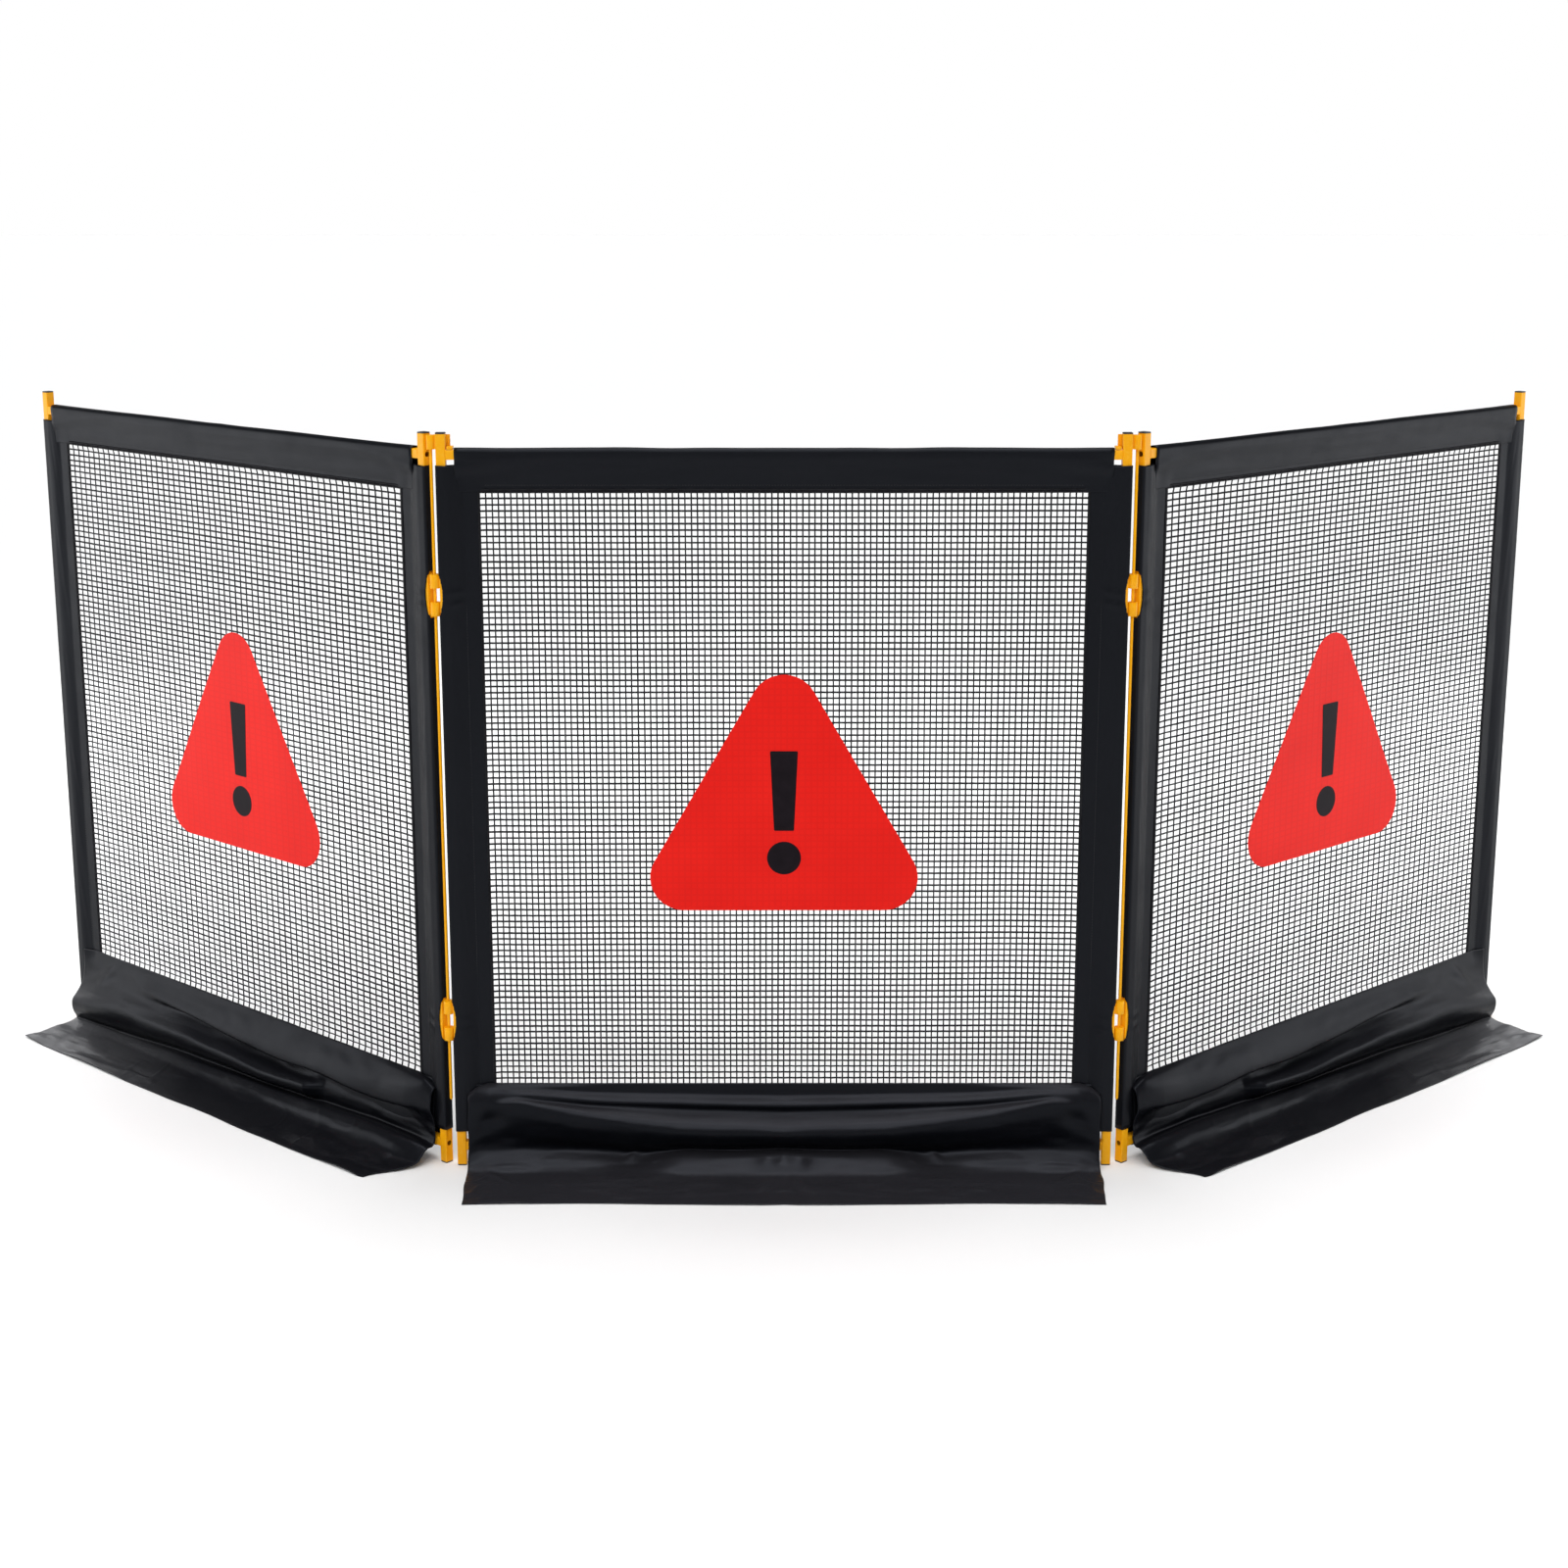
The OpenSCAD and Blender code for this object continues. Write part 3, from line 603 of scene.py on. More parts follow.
def make_post_sleeve(panel, far, cut, cad, seed):
    """The sleeve round one post. x runs in from the post's outer face; far mirrors it to the panel's other edge."""
    half = [
        (65.8, -0.95), (57.0, -0.95), (47.0, -1.0), (41.0, -1.1), (37.5, -2.0), (27.0, -5.2),
        (17.2, -8.3), (14.2, -8.75), (8.5, -8.8), (3.0, -8.75), (0.3, -8.3), (-0.95, -6.8), (-1.15, -4.0),
    ]
    prof = np.array(half + [(-1.2, 0.0)] + [(x, -y) for x, y in reversed(half)]) * MM
    n = 96
    line, girth = resample(prof, n)
    zs = [np.arange(SLV_Z[0], SLV_Z[1], 0.0075)]
    if cut:
        for c in CUT:
            zs.append(np.arange(c - 0.055, c + 0.055, 0.0022))
    z = np.unique(np.round(np.concatenate(zs + [[SLV_Z[0], SLV_Z[1], NET[3]]]), 5))
    keep = [z[0]]
    for a in z[1:]:
        if a - keep[-1] > 0.0016 or a == z[-1]:
            keep.append(a)
    z = np.array(keep)
    m = len(z)
    s = np.linspace(0, girth, n)
    arc = s - girth / 2  # 0 on the outer face's middle line
    P = np.zeros((m, n, 3))
    P[:, :, 0] = line[None, :, 0]
    P[:, :, 1] = line[None, :, 1]
    P[:, :, 2] = z[:, None]
    a = np.abs(arc)[None, :]
    slope = np.exp(-(((a - 0.036) / 0.011) ** 2))   # slack between tube and seam
    hem = step(0.050, 0.056, a)
    w = (0.0009 + 0.0008 * fbm(z[:, None] * 5, a * 16 + seed, seed, 3)) * slope
    w = w + 0.00035 * noise(z[:, None] * 22 + a * 160, a * 40, seed + 2) * slope
    if cut:
        for c in CUT:  # creases that run in from the cut-out
            near = np.exp(-(((a - 0.031) / 0.013) ** 2))
            for at, size in ((0.004, 0.0013), (-0.014, 0.0015)):
                w = w + size * near * np.exp(-(((z[:, None] - c - at - (a - 0.03) * 0.15) / 0.0052) ** 2))
    nrm = normals_of(P)
    front = np.where(P[:, :, 1:2] < 0, -1.0, 1.0)
    outw = np.sign(nrm[:, :, 1:2] * front)
    P = P + nrm * outw * w[..., None]
    P[:, :, 1] += np.sign(P[:, :, 1]) * 0.00025 * hem * noise(z[:, None] * 22, a * 10, seed + 8)
    # free ends of the tunnel are a little ragged
    for i, k in ((0, -1), (m - 1, 1)):
        P[i, :, 2] += k * 0.0007 * noise(s * 110, np.full(n, 7.7 + i), seed + 4)
    # above and below the window the hem gives way to the rail sleeves
    xm = (line[:-1, 0] + line[1:, 0]) / 2
    zm = (z[:-1] + z[1:]) / 2
    mask = np.ones((m - 1, n - 1), bool)
    mask &= ~((zm[:, None] > NET[3] + 0.012) & (xm[None, :] > SLV_X + 0.006))
    mask &= ~((zm[:, None] < NET[2] - 0.012) & (xm[None, :] > SLV_X + 0.006))
    if cut:
        ra, rz = 0.0130, 0.0372
        A2, Z2 = np.broadcast_arrays(arc[None, :], z[:, None])
        am = (arc[:-1] + arc[1:]) / 2
        for c in CUT:
            # lens: two arcs that meet in points above and below
            def inside(aa, zz, grow=0.0):
                t = np.clip(1 - ((zz - c) / (rz + grow)) ** 2, 0, 1)
                return np.abs(aa) < (ra + grow) * t**0.45
            mask &= ~inside(am[None, :], zm[:, None])
        # snap the rim of each hole to the lens
        gone = ~mask
        corner_gone = np.zeros((m, n), int)
        corner_all = np.zeros((m, n), int)
        for di in (0, 1):
            for dj in (0, 1):
                corner_gone[di:m - 1 + di, dj:n - 1 + dj] += gone
                corner_all[di:m - 1 + di, dj:n - 1 + dj] += 1
        rimv = (corner_gone > 0) & (corner_gone < corner_all) & (np.abs(A2) < 0.02)
        base_line, ds, dz = line, girth / (n - 1), 0.0022
        for c in CUT:
            near = rimv & (np.abs(Z2 - c) < 0.05)
            ii, jj = np.nonzero(near)
            for i, j in zip(ii, jj):
                # each rim point moves at most half a cell, along whichever way is nearer
                t = max(1 - ((z[i] - c) / rz) ** 2, 0.0)
                across = ra * t**0.45
                upright = rz * math.sqrt(max(1 - min(abs(arc[j]) / ra, 1.0) ** (1 / 0.45), 0.0))
                if across > 0.4 * ds and abs(abs(arc[j]) - across) < 0.499 * ds:
                    pos = math.copysign(across, arc[j]) + girth / 2
                    P[i, j, 0] = np.interp(pos, s, base_line[:, 0])
                    P[i, j, 1] = np.interp(pos, s, base_line[:, 1])
                elif abs(abs(z[i] - c) - upright) < 0.499 * dz:
                    P[i, j, 2] = c + math.copysign(upright, z[i] - c)
    if far:
        P[:, :, 0] = W - P[:, :, 0]
        P = P[:, ::-1]
        mask = mask[:, ::-1]
    v, q = thick(P, T, mask)
    side = cad.split("_sleeve_")[1]
    ob = build(f"{panel}_post_cover_{side}", v, q, panel, mats=(VINYL,))
    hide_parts(cad)
    return ob


# ------------------------------------------------------------- the skirts
# Control lines of the skirt's section (y, z in mm), from the seam over the belly to the front edge.
CENTRE = {
    20.5: [(-4, 124), (-9, 124), (-14, 121), (-18, 115), (-20, 106), (-21, 96), (-22, 78), (-23, 58), (-24, 36), (-29, 19), (-36, 9), (-51, 3), (-100, 2), (-164, 1.2)],
    38: [(-4, 136), (-10, 136), (-16, 132), (-20, 124), (-23, 114), (-24, 102), (-24, 82), (-23, 59), (-22, 36), (-31, 17), (-39, 9), (-52, 3.5), (-100, 2), (-163, 1.2)],
    55: [(-2.2, 141), (-9, 140), (-17, 136), (-22, 130), (-25, 121), (-26, 109), (-25, 86), (-23, 60), (-21, 35), (-33, 17), (-41, 11), (-54, 4), (-100, 2.5), (-163, 1.2)],
    98: [(-1.8, 141), (-8, 138), (-13, 133), (-19, 129), (-22, 123), (-29, 118), (-30, 94), (-26, 64), (-20, 37), (-34, 19), (-42, 13), (-56, 4.5), (-100, 2.5), (-162, 1.2)],
    150: [(-1.8, 141), (-6, 137), (-9, 130), (-18, 125), (-19, 116), (-32, 112), (-35, 90), (-29, 62), (-20, 35), (-36, 19), (-43, 12), (-57, 5), (-102, 2.5), (-161, 1.2)],
    225: [(-1.8, 141), (-4, 134), (-6, 125), (-17, 118), (-16, 107), (-34, 99), (-38, 80), (-32, 56), (-19, 33), (-37, 17), (-44, 11), (-58, 5.5), (-104, 2.5), (-162, 1.2)],
    295: [(-1.8, 141), (-3, 133), (-5, 123), (-17, 114), (-15, 102), (-36, 89), (-39, 71), (-31, 48), (-16, 26), (-31, 13), (-43, 9), (-60, 6), (-106, 2.5), (-163, 1.2)],
    370: [(-1.8, 141), (-3, 133), (-4, 122), (-17, 111), (-13, 98), (-37, 83), (-41, 66), (-31, 47), (-17, 32), (-35, 28), (-52, 18), (-68, 7), (-108, 4), (-164, 1.2)],
    450: [(-1.8, 141), (-3, 132), (-4, 120), (-17, 109), (-13, 95), (-38, 79), (-42, 63), (-32, 46), (-18, 31), (-36, 26), (-52, 16), (-69, 6), (-109, 4), (-165, 1.2)],
    535: [(-1.8, 141), (-3, 132), (-4, 119), (-17, 108), (-13, 93), (-38, 77), (-42, 62), (-32, 46), (-18, 34), (-38, 31), (-54, 20), (-70, 7), (-110, 4), (-166, 1.2)],
}
SIDE = {
    20.5: [(-6, 126), (-13, 125), (-19, 114), (-21, 92), (-15, 75), (-12, 63), (-12, 52), (-13, 42), (-18, 29), (-30, 27), (-42, 19), (-54, 8), (-95, 3), (-138, 1.2)],
    45: [(-4, 137), (-13, 135), (-21, 119), (-24, 92), (-14, 73), (-10, 61), (-10, 51), (-11, 42), (-16, 30), (-33, 32), (-46, 23), (-59, 9), (-97, 3.5), (-142, 1.2)],
    80: [(-2, 141), (-12, 136), (-24, 116), (-28, 86), (-10, 80), (-8, 60), (-9, 51), (-10, 42), (-14, 30), (-35, 35), (-49, 27), (-64, 11), (-100, 4), (-144, 1.2)],
    150: [(-1.8, 141), (-9, 132), (-23, 107), (-28, 80), (-8, 77), (-6, 58), (-8, 50), (-9, 42), (-13, 30), (-36, 37), (-50, 29), (-66, 12), (-102, 4), (-146, 1.2)],
    250: [(-1.8, 141), (-8, 131), (-23, 108), (-29, 83), (-8, 80), (-8, 60), (-11, 50), (-11, 39), (-13, 27), (-36, 34), (-50, 26), (-65, 10), (-102, 3.5), (-147, 1.2)],
    312: [(-1.8, 141), (-8, 131), (-21, 111), (-28, 86), (-9, 82), (-8, 65), (-13, 54), (-14, 41), (-14, 26), (-37, 31), (-50, 23), (-64, 9), (-102, 3), (-147, 1.2)],
    345: [(-1.8, 141), (-8, 131), (-20, 110), (-28, 85), (-9, 81), (-17, 64), (-34, 53), (-30, 37), (-16, 24), (-37, 28), (-49, 20), (-62, 8), (-102, 3), (-148, 1.2)],
    450: [(-1.8, 141), (-8, 131), (-20, 108), (-28, 81), (-6, 77), (-15, 62), (-38, 51), (-34, 35), (-18, 21), (-37, 23), (-48, 17), (-61, 7), (-102, 3), (-149, 1.2)],
    560: [(-1.8, 141), (-7, 131), (-18, 113), (-27, 88), (-8, 84), (-20, 69), (-40, 56), (-37, 38), (-21, 21), (-38, 21.5), (-48, 16), (-60, 6), (-102, 3), (-150, 1.2)],
    700: [(-1.8, 141), (-7, 131), (-15, 117), (-24, 98), (-13, 93), (-27, 76), (-42, 60), (-39, 38), (-25, 22), (-38, 19), (-47, 14), (-58, 6), (-100, 3), (-151, 1.2)],
    850: [(-1.8, 141), (-5, 130), (-11, 118), (-17, 106), (-22, 93), (-34, 76), (-43, 58), (-39, 33), (-28, 15), (-37, 13), (-45, 10), (-56, 4.5), (-100, 2.5), (-152, 1.2)],
    1020: [(-2, 141), (-5, 129), (-9, 115), (-12, 100), (-17, 86), (-29, 68), (-43, 48), (-41, 25), (-33, 9), (-38, 8), (-44, 6), (-54, 3), (-100, 2), (-152, 1.2)],
    1049.5: [(-10.2, 140), (-10.6, 128), (-11, 114), (-12.5, 99), (-15.5, 85), (-26, 66), (-42, 46), (-41, 24), (-35, 9), (-40, 6), (-45, 5), (-54, 3), (-100, 2), (-152, 1.2)],
}


def stations(table, at):
    """Control lines at the given x, smoothly between the table's."""
    xs = np.array(sorted(table), float)
    C = np.array([table[k] for k in sorted(table)], float)
    out = np.zeros((len(at),) + C.shape[1:])
    d = np.gradient(C, xs, axis=0)
    for i, x in enumerate(at):
        k = int(np.clip(np.searchsorted(xs, x) - 1, 0, len(xs) - 2))
        h = xs[k + 1] - xs[k]
        t = np.clip((x - xs[k]) / h, 0, 1)
        m0, m1 = d[k] * h, d[k + 1] * h
        lim = np.abs(C[k + 1] - C[k]) * 1.5 + 1e-9
        m0, m1 = np.clip(m0, -lim, lim), np.clip(m1, -lim, lim)
        out[i] = (2 * t**3 - 3 * t**2 + 1) * C[k] + (t**3 - 2 * t**2 + t) * m0 + (-2 * t**3 + 3 * t**2) * C[k + 1] + (t**3 - t**2) * m1
    return out


def make_skirt(panel, seed):
    m, n = 360, 124
    x = np.linspace(SKIRT_X, W - SKIRT_X, m) * 1000
    key = np.minimum(x, W * 1000 - x) if panel == "c" else x
    ctrl = stations(CENTRE if panel == "c" else SIDE, key)
    # the folds wander a little along the skirt
    for k in range(3, 11):
        ctrl[:, k, 1] += 1.5 * noise(key / 95, k * 0.45, seed + 71)
        ctrl[:, k, 0] += 1.3 * noise(key / 80, k * 0.6, seed + 72)
    P = np.zeros((m, n, 3))
    flat = 0.0
    for i in range(m):
        line, length = resample(ctrl[i], n)
        P[i, :, 0] = x[i]
        P[i, :, 1:] = line
        flat += length
    flat = flat / m * MM
    s = np.linspace(0, 1, n)[None, :]
    xx = key[:, None]
    lap = step(0.56, 0.66, s)
    # fine wrinkles along the skirt, more in the belly and the tuck
    body = np.exp(-(((s - 0.33) / 0.2) ** 2))
    w = 0.7 * fbm(xx / 120, s * 11, seed, 3) * body
    w = w + 0.5 * fbm(xx / 45, s * 20, seed + 11, 2) * np.exp(-(((s - 0.48) / 0.1) ** 2))
    # short slanting pulls that fade away below the seam
    w = w + 0.35 * np.sin(xx / 11 + s * 34) * np.exp(-(((s - 0.10) / 0.05) ** 2)) * step(-0.1, 0.7, noise(xx / 110, s * 3, seed + 21))
    nrm = normals_of(P)
    outw = np.where((nrm[:, :, 1:2] * -1 + nrm[:, :, 2:3] * 0.3).mean(axis=1, keepdims=True) > 0, 1.0, -1.0)
    P = P + nrm * outw * (w * step(0, 0.05, s))[..., None]
    # the lap on the floor lies in long low swells with a few sharp little folds
    swell = 2.6 * np.maximum(fbm(xx / 120, s * 6 + 3, seed + 31, 3) + 0.1, 0) * lap
    ridge = np.exp(-((np.abs(noise(xx / 60 + s * 2.4, s * 5, seed + 33)) / 0.07) ** 2)) * step(0.1, 0.5, noise(xx / 140, s * 4, seed + 34)) * lap
    P[:, :, 2] += (swell + 1.1 * ridge) * step(1.0, 0.92, s)
    P[:, :, 2] += 3.6 * np.maximum(noise(xx / 95, s * 0 + 9, seed + 41), 0) * step(0.86, 1.0, s)
    far = (W * 1000 - x)[:, None]
    near = x[:, None]
    if panel == "c":
        # crumples in the middle of the lap, and the lap's ends drawn in
        c = np.abs(near - W * 500)
        lobe = np.exp(-(((c - 26) / 15) ** 2)) * np.exp(-(((s - 0.56) / 0.05) ** 2))
        P[:, :, 2] += 2.2 * lobe
        P[:, :, 1] -= 4.0 * lobe
        P[:, :, 1] += 2.5 * np.exp(-((c / 9) ** 2)) * np.exp(-(((s - 0.57) / 0.05) ** 2))
        P[:, :, 2] += 2.4 * np.exp(-(((c - 26 - (s - 0.75) * 160) / 12) ** 2)) * np.exp(-(((s - 0.78) / 0.07) ** 2))
        for e, g in ((near, 1), (far, -1)):
            P[:, :, 0] += g * 6 * np.exp(-((e - 20.5) / 60)) * step(0.62, 1.0, s)
            # a small fold tip over the notch in the roll
            P[:, :, 2] += 4.0 * np.exp(-(((e - 290 + (s - 0.5) * 120) / 9) ** 2)) * np.exp(-(((s - 0.50) / 0.035) ** 2))
            P[:, :, 1] -= 3.5 * np.exp(-(((e - 330 + (s - 0.5) * 150) / 8) ** 2)) * np.exp(-(((s - 0.53) / 0.04) ** 2))
            # soft dents at the rounded ends
            P[:, :, 1] += 4.0 * np.exp(-(((e - 62) / 20) ** 2)) * np.exp(-(((s - 0.25) / 0.05) ** 2))
            P[:, :, 1] += 3.5 * np.exp(-(((e - 85) / 26) ** 2)) * np.exp(-(((s - 0.36) / 0.04) ** 2))
            P[:, :, 2] += 2.6 * np.exp(-(((e - 60 - (s - 0.6) * 250) / 9) ** 2)) * np.exp(-(((s - 0.66) / 0.07) ** 2))
    else:
        # the lap is pulled askew at the hinge end
        P[:, :, 0] += 36 * np.exp(-((near - 20.5) / 75)) * step(0.60, 1.0, s)
        P[:, :, 0] -= 5 * np.exp(-((far - 20.5) / 60)) * step(0.60, 1.0, s)
        # a short upright crease where the belly dies away
        P[:, :, 1] -= 2.6 * np.exp(-(((near - 322 - (s - 0.3) * 60) / 11) ** 2)) * np.exp(-(((s - 0.29) / 0.06) ** 2))
        # the belly's cheek by the outer post
        P[:, :, 1] -= 3.0 * np.exp(-(((far - 90 - (0.2 - s) * 200) / 16) ** 2)) * np.exp(-(((s - 0.14) / 0.08) ** 2))
    # wavy front edge and slightly uneven side edges
    P[:, :, 1] += (2.5 + 5.0 * noise(xx / 120, 0.5, seed + 51)) * step(0.7, 1.0, s)
    ends = np.exp(-(np.minimum(x - x[0], x[-1] - x) / 12))[:, None]
    P[:, :, 0] += ends * 1.4 * noise(s * 9, 4.4, seed + 61)
    P[:, :, 2] = np.minimum(P[:, :, 2], SKIRT_Z * 1000 - 0.4)
    P[:, :, 2] = np.maximum(P[:, :, 2], 0.75)
    P[:, :, 1] = np.maximum(P[:, :, 1], -168.0)
    P *= MM
    v, q = thick(P, 0.0011)
    v[:, 2] = np.maximum(v[:, 2], 0.0002)
    ob = build(f"{panel}_floor_skirt", v, q, panel, mats=(VINYL_SKIRT["c" if panel == "c" else "side"],))
    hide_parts(f"{panel}_skirt")
    return ob


# ----------------------------------------------------- warning triangle
def rounded_triangle(cx, cz, side, r, n=20):
    c = np.array([[cx - side / 2, cz], [cx + side / 2, cz], [cx, cz + side * math.sqrt(3) / 2]])
    out = []
    for k, a0 in enumerate((150, 270, 30)):
        for a in np.linspace(a0, a0 + 120, n):
            out.append(c[k] + r * np.array([math.cos(math.radians(a)), math.sin(math.radians(a))]))
    return np.array(out)


def ring_plate(name, outline, centre, y_of, t, panel, mat, rings=16, bead=0.0):
    """A thin plate from an outline in x and z, ringed inwards so that it can follow the net."""
    o = np.asarray(outline)
    d = np.roll(o, -1, 0) - o
    per = np.linalg.norm(d, axis=1)
    s = np.concatenate([[0], np.cumsum(per)])
    k = 168
    at = np.linspace(0, s[-1], k, endpoint=False)
    oo = np.vstack([o, o[:1]])
    o = np.stack([np.interp(at, s, oo[:, c]) for c in (0, 1)], 1)
    c = np.asarray(centre)
    shrink = np.concatenate([[1.0, 0.997, 0.99], np.linspace(0.975, 0.02, rings)])
    ring = [c + (o - c) * f for f in shrink]
    pts = np.concatenate(ring)
    nr = len(shrink)
    rise = np.concatenate([[0.0, 0.75, 1.0], np.ones(rings)])
    rise = np.repeat(rise, k)
    y = y_of(pts[:, 0], pts[:, 1])
    front = np.stack([pts[:, 0], y - t / 2 * rise - bead * 0, pts[:, 1]], 1)
    back = np.stack([pts[:, 0], y + t / 2, pts[:, 1]], 1)
    idx = np.arange(nr * k).reshape(nr, k)
    a, b_ = idx[:-1], idx[1:]
    # outline runs counter-clockwise seen from the front (-y)
    q = np.stack([a, np.roll(a, -1, 1), np.roll(b_, -1, 1), b_], -1).reshape(-1, 4)
    off = nr * k
    rim = np.stack([idx[0], idx[0] + off, np.roll(idx[0], -1) + off, np.roll(idx[0], -1)], -1)
    v = np.vstack([front, back, [[c[0], y_of(c[0], c[1]) - t / 2, c[1]], [c[0], y_of(c[0], c[1]) + t / 2, c[1]]]])
    last = idx[-1]
    mid = 2 * off
    tf = np.stack([last, np.roll(last, -1), np.full(k, mid)], -1)
    tb = np.stack([np.roll(last, -1) + off, last + off, np.full(k, mid + 1)], -1)
    quads = np.concatenate([q, q[:, ::-1] + off, rim])
    ob = build(name, v, quads, panel, tris=np.concatenate([tf, tb]), mats=(mat,))
    uv = ob.data.uv_layers.new(name="UVMap")
    li = np.zeros(len(ob.data.loops), np.int32)
    ob.data.loops.foreach_get("vertex_index", li)
    # in the net's own cells, so that the strands print through where they lie
    cells = 1.0 if panel == "c" else NX_SIDE / NX
    loc = np.stack([(v[:, 0] - NET[0]) * cells, v[:, 2] - NET[2]], 1)
    uv.data.foreach_set("uv", loc[li].astype(np.float32).ravel())
    return ob


def make_sign(panel, seed):
    lo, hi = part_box(f"{panel}_sign")
    M = np.linalg.inv(FRAMES[panel])
    mid = M @ np.array([(lo[0] + hi[0]) / 2, (lo[1] + hi[1]) / 2, 0, 1])
    cx = float(mid[0])
    zlo, zhi = float(lo[2]), float(hi[2])
    high = zhi - zlo
    r = 0.054
    side = (high - 2 * r) / (math.sqrt(3) / 2)
    out = rounded_triangle(cx, zlo + r, side, r)
    y_of = lambda x, z: net_y(np.asarray(x, float), np.asarray(z, float), seed) - 0.00135
    plate = ring_plate(f"{panel}_warning_triangle", out, (cx, zlo + r + side * 0.2887), y_of, 0.0006, panel, RED)
    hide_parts(f"{panel}_sign")
    # the mark: a tapered bar with eased corners over a round dot
    b0, b1, w0, w1, e = zlo + 0.132, zlo + 0.262, 0.016, 0.022, 0.0016
    bar = []
    for (px, pz), a0 in (((cx - w0 + e, b0 + e), 180), ((cx + w0 - e, b0 + e), 270), ((cx + w1 - e, b1 - e), 0), ((cx - w1 + e, b1 - e), 90)):
        for a in np.linspace(a0, a0 + 90, 5):
            bar.append((px + e * math.cos(math.radians(a)), pz + e * math.sin(math.radians(a))))
    y2 = lambda x, z: y_of(x, z) - 0.0005
    p1 = ring_plate(f"{panel}_mark_bar", bar, (cx, (b0 + b1) / 2), y2, 0.0003, panel, DARK, rings=10)
    dot = [(cx + 0.027 * math.cos(a), zlo + 0.087 + 0.027 * math.sin(a)) for a in np.linspace(0, 2 * math.pi, 96, endpoint=False)]
    p2 = ring_plate(f"{panel}_mark_dot", dot, (cx, zlo + 0.087), y2, 0.0003, panel, DARK, rings=8)
    for p in (p1, p2):
        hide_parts(f"{panel}_sign_mark")
    return plate


# ------------------------------------------------------------- stitching
def make_stitches(panel):
    """Rows of lock stitches along the hems, each stitch a short spindle lying in the vinyl."""
    rows = []
    pitch = 0.0046
    yf = -0.00150
    for side in (0, 1):
        for off in (0.0405, 0.0625):
            x = off if side == 0 else W - off
            z = np.arange(NET[2] + 0.004, NET[3] - 0.004, pitch)
            rows.append(np.stack([np.full_like(z, x), np.full_like(z, yf - (0.0001 if off < 0.05 else 0)), z, np.zeros_like(z), np.ones_like(z)], 1))
    for z0, y in ((NET[3] + 0.0100, -0.0017), (NET[2] - 0.0115, -0.0016)):
        x = np.arange(SLV_X + 0.006, W - SLV_X - 0.006, pitch)
        rows.append(np.stack([x, np.full_like(x, y), np.full_like(x, z0), np.ones_like(x), np.zeros_like(x)], 1))
    R = np.concatenate(rows)
    # the same rows on the back
    B = R.copy()
    B[:, 1] = -B[:, 1]
    R = np.concatenate([R, B])
    n = len(R)
    L, r = 0.0034 / 2, 0.00038
    d = np.stack([R[:, 3], np.zeros(n), R[:, 4]], 1)
    side = np.stack([R[:, 4], np.zeros(n), -R[:, 3]], 1)
    up = np.array([0, 1.0, 0])
    c = R[:, :3]
    ring = [(-1.0, 0.25), (-0.6, 1.0), (0.6, 1.0), (1.0, 0.25)]
    V = []
    for a, f in ring:
        for k in range(4):
            ang = math.pi / 4 + k * math.pi / 2
            V.append(c + d * (a * L) + side * (math.cos(ang) * r * f) + up * (math.sin(ang) * r * f * 0.8))
    V = np.stack(V, 1)  # n,16,3
    idx = (np.arange(n) * 16)[:, None]
    q = []
    for i in range(3):
        for k in range(4):
            k2 = (k + 1) % 4
            q.append(np.stack([idx[:, 0] + i * 4 + k, idx[:, 0] + i * 4 + k2, idx[:, 0] + (i + 1) * 4 + k2, idx[:, 0] + (i + 1) * 4 + k], -1))
    q.append(np.concatenate([idx + 3, idx + 2, idx + 1, idx], 1))
    q.append(np.concatenate([idx + 12, idx + 13, idx + 14, idx + 15], 1))
    q = np.concatenate(q)
    ob = build(f"{panel}_stitching", V.reshape(-1, 3), q, panel, mats=(THREAD,))
    return ob


# ------------------------------------------------------- make every piece
for panel, seed in (("c", 10), ("l", 40), ("r", 40)):
    make_rail_sleeve(panel, True, seed + 1)
    make_rail_sleeve(panel, False, seed + 2)
    make_net(panel, seed)
    if panel == "c":
        make_post_sleeve(panel, False, True, "c_post_sleeve_left", seed + 3)
        make_post_sleeve(panel, True, True, "c_post_sleeve_right", seed + 3)
    else:
        make_post_sleeve(panel, False, True, f"{panel}_post_sleeve_inner", seed + 4)
        make_post_sleeve(panel, True, False, f"{panel}_post_sleeve_outer", seed + 5)
    make_skirt(panel, seed + 6)
    make_sign(panel, seed)
    make_stitches(panel)

# CAD parts that are right as they are get their finish, and a fine round on their edges
for name, ob in frame["nodes"].items():
    tail = name.split("_", 1)[1]
    if tail in ("end_plugs", "rail_inserts"):
        mat, width = PLASTIC, 0.0005
    elif tail == "rail_screws":
        mat, width = ZINC, 0.0002
    elif "post" in tail and "sleeve" not in tail or "rail" in tail and "sleeve" not in tail:
        mat, width = YELLOW, 0.00035
    elif "knuckles" in tail or "rod" in tail:
        mat, width = YELLOW, 0.0004
    else:
        continue
    ob.data.materials.clear()
    ob.data.materials.append(mat)
    weld = ob.modifiers.new("weld", "WELD")
    weld.merge_threshold = 0.00002
    bev = ob.modifiers.new("bevel", "BEVEL")
    bev.width = width
    bev.segments = 2
    bev.limit_method = "ANGLE"
    bev.angle_limit = math.radians(28)
    bev.harden_normals = True

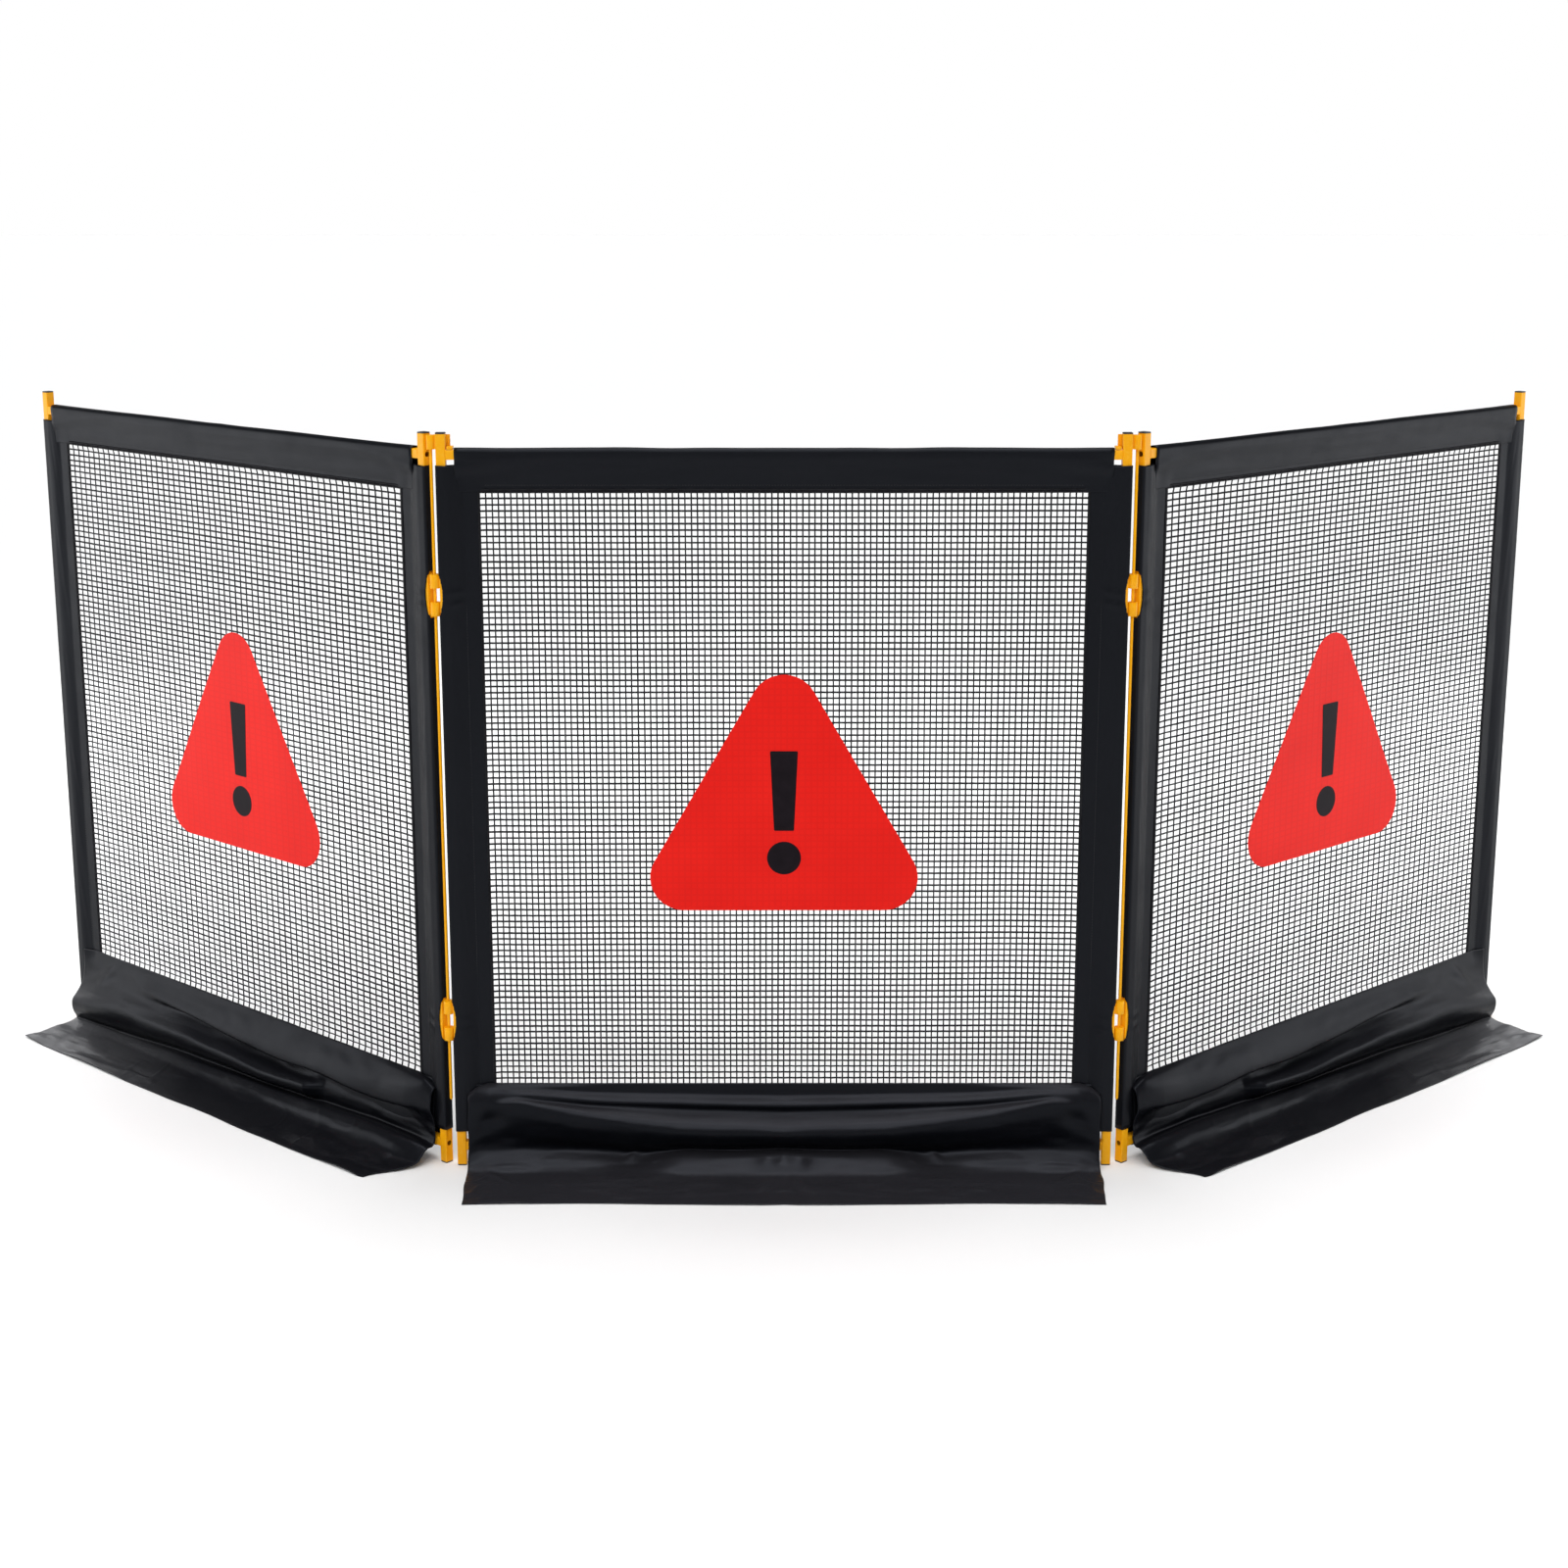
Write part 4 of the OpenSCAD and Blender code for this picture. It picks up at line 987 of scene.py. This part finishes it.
# ------------------------------------------------------------------ stage
floor_mat, nt, b = new_mat("studio_floor")
b.inputs["Base Color"].default_value = (0.86, 0.86, 0.86, 1)
b.inputs["Roughness"].default_value = 0.6
b.inputs["Specular IOR Level"].default_value = 0.0
me = bpy.data.meshes.new("studio_floor")
R = 60.0
me.from_pydata([(-R, -R, 0), (R, -R, 0), (R, R, 0), (-R, R, 0)], [], [(0, 1, 2, 3)])
me.materials.append(floor_mat)
ground = bpy.data.objects.new("studio_floor", me)
bpy.context.scene.collection.objects.link(ground)

world = bpy.data.worlds.new("studio")
bpy.context.scene.world = world
world.use_nodes = True
wt = world.node_tree
bg = wt.nodes["Background"]
bg.inputs["Color"].default_value = (0.92, 0.96, 1.0, 1)
bg.inputs["Strength"].default_value = 0.07
white = wt.nodes.new("ShaderNodeBackground")
white.inputs["Color"].default_value = (1, 1, 1, 1)
white.inputs["Strength"].default_value = 1.0
path = wt.nodes.new("ShaderNodeLightPath")
pick = wt.nodes.new("ShaderNodeMixShader")
wt.links.new(path.outputs["Is Camera Ray"], pick.inputs[0])
wt.links.new(bg.outputs[0], pick.inputs[1])
wt.links.new(white.outputs[0], pick.inputs[2])
wt.links.new(pick.outputs[0], wt.nodes["World Output"].inputs["Surface"])


def area(name, at, to, size, power, size_y=None):
    L = bpy.data.lights.new(name, "AREA")
    L.energy = power
    L.size = size
    if size_y:
        L.shape = "RECTANGLE"
        L.size_y = size_y
    ob = bpy.data.objects.new(name, L)
    bpy.context.scene.collection.objects.link(ob)
    ob.location = at
    ob.rotation_euler = (Vector(to) - Vector(at)).to_track_quat("-Z", "Y").to_euler()
    ob.visible_camera = False
    return ob


def sun(name, elevation, azimuth, strength, angle):
    L = bpy.data.lights.new(name, "SUN")
    L.energy = strength
    L.angle = math.radians(angle)
    ob = bpy.data.objects.new(name, L)
    bpy.context.scene.collection.objects.link(ob)
    e, a = math.radians(elevation), math.radians(azimuth)
    d = Vector((-math.cos(e) * math.sin(a), math.cos(e) * math.cos(a), -math.sin(e)))
    ob.rotation_euler = d.to_track_quat("-Z", "Y").to_euler()
    return ob


sun("front", 46, -12, 1.70, 50)
sun("above", 82, 180, 2.25, 46)
area("side_left", (-4.1, 0.1, 1.0), (-0.9, 0.1, 0.5), 1.7, 26)
area("side_right", (4.1, 0.1, 1.0), (0.9, 0.1, 0.5), 1.7, 26)
area("low_back_left", (-3.6, 2.9, 1.0), (-0.9, 0.0, 0.1), 1.5, 22)
area("low_back_right", (3.6, 2.9, 1.0), (0.9, 0.0, 0.1), 1.5, 22)
area("sheen_left", (-2.95, 3.1, 1.45), (-1.4, -0.3, 0.0), 1.3, 17)
area("sheen_right", (2.95, 3.1, 1.45), (1.4, -0.3, 0.0), 1.3, 17)
area("sheen", (0, 3.3, 1.6), (0, -0.1, 0.0), 1.5, 5, 0.9)

# ----------------------------------------------------------------- camera
cam = bpy.data.cameras.new("camera")
cam.sensor_width = 36.0
cam.lens = 55.17
cam.shift_y = -0.0475
cam_ob = bpy.data.objects.new("camera", cam)
bpy.context.scene.collection.objects.link(cam_ob)
front_y = MID_Y - TUBE / 2
cam_ob.location = (0.0, front_y - 3.6838, 1.5888)
cam_ob.rotation_euler = (math.radians(90 - 12.592), 0, 0)
bpy.context.scene.camera = cam_ob
bpy.context.scene.view_settings.view_transform = "Standard"
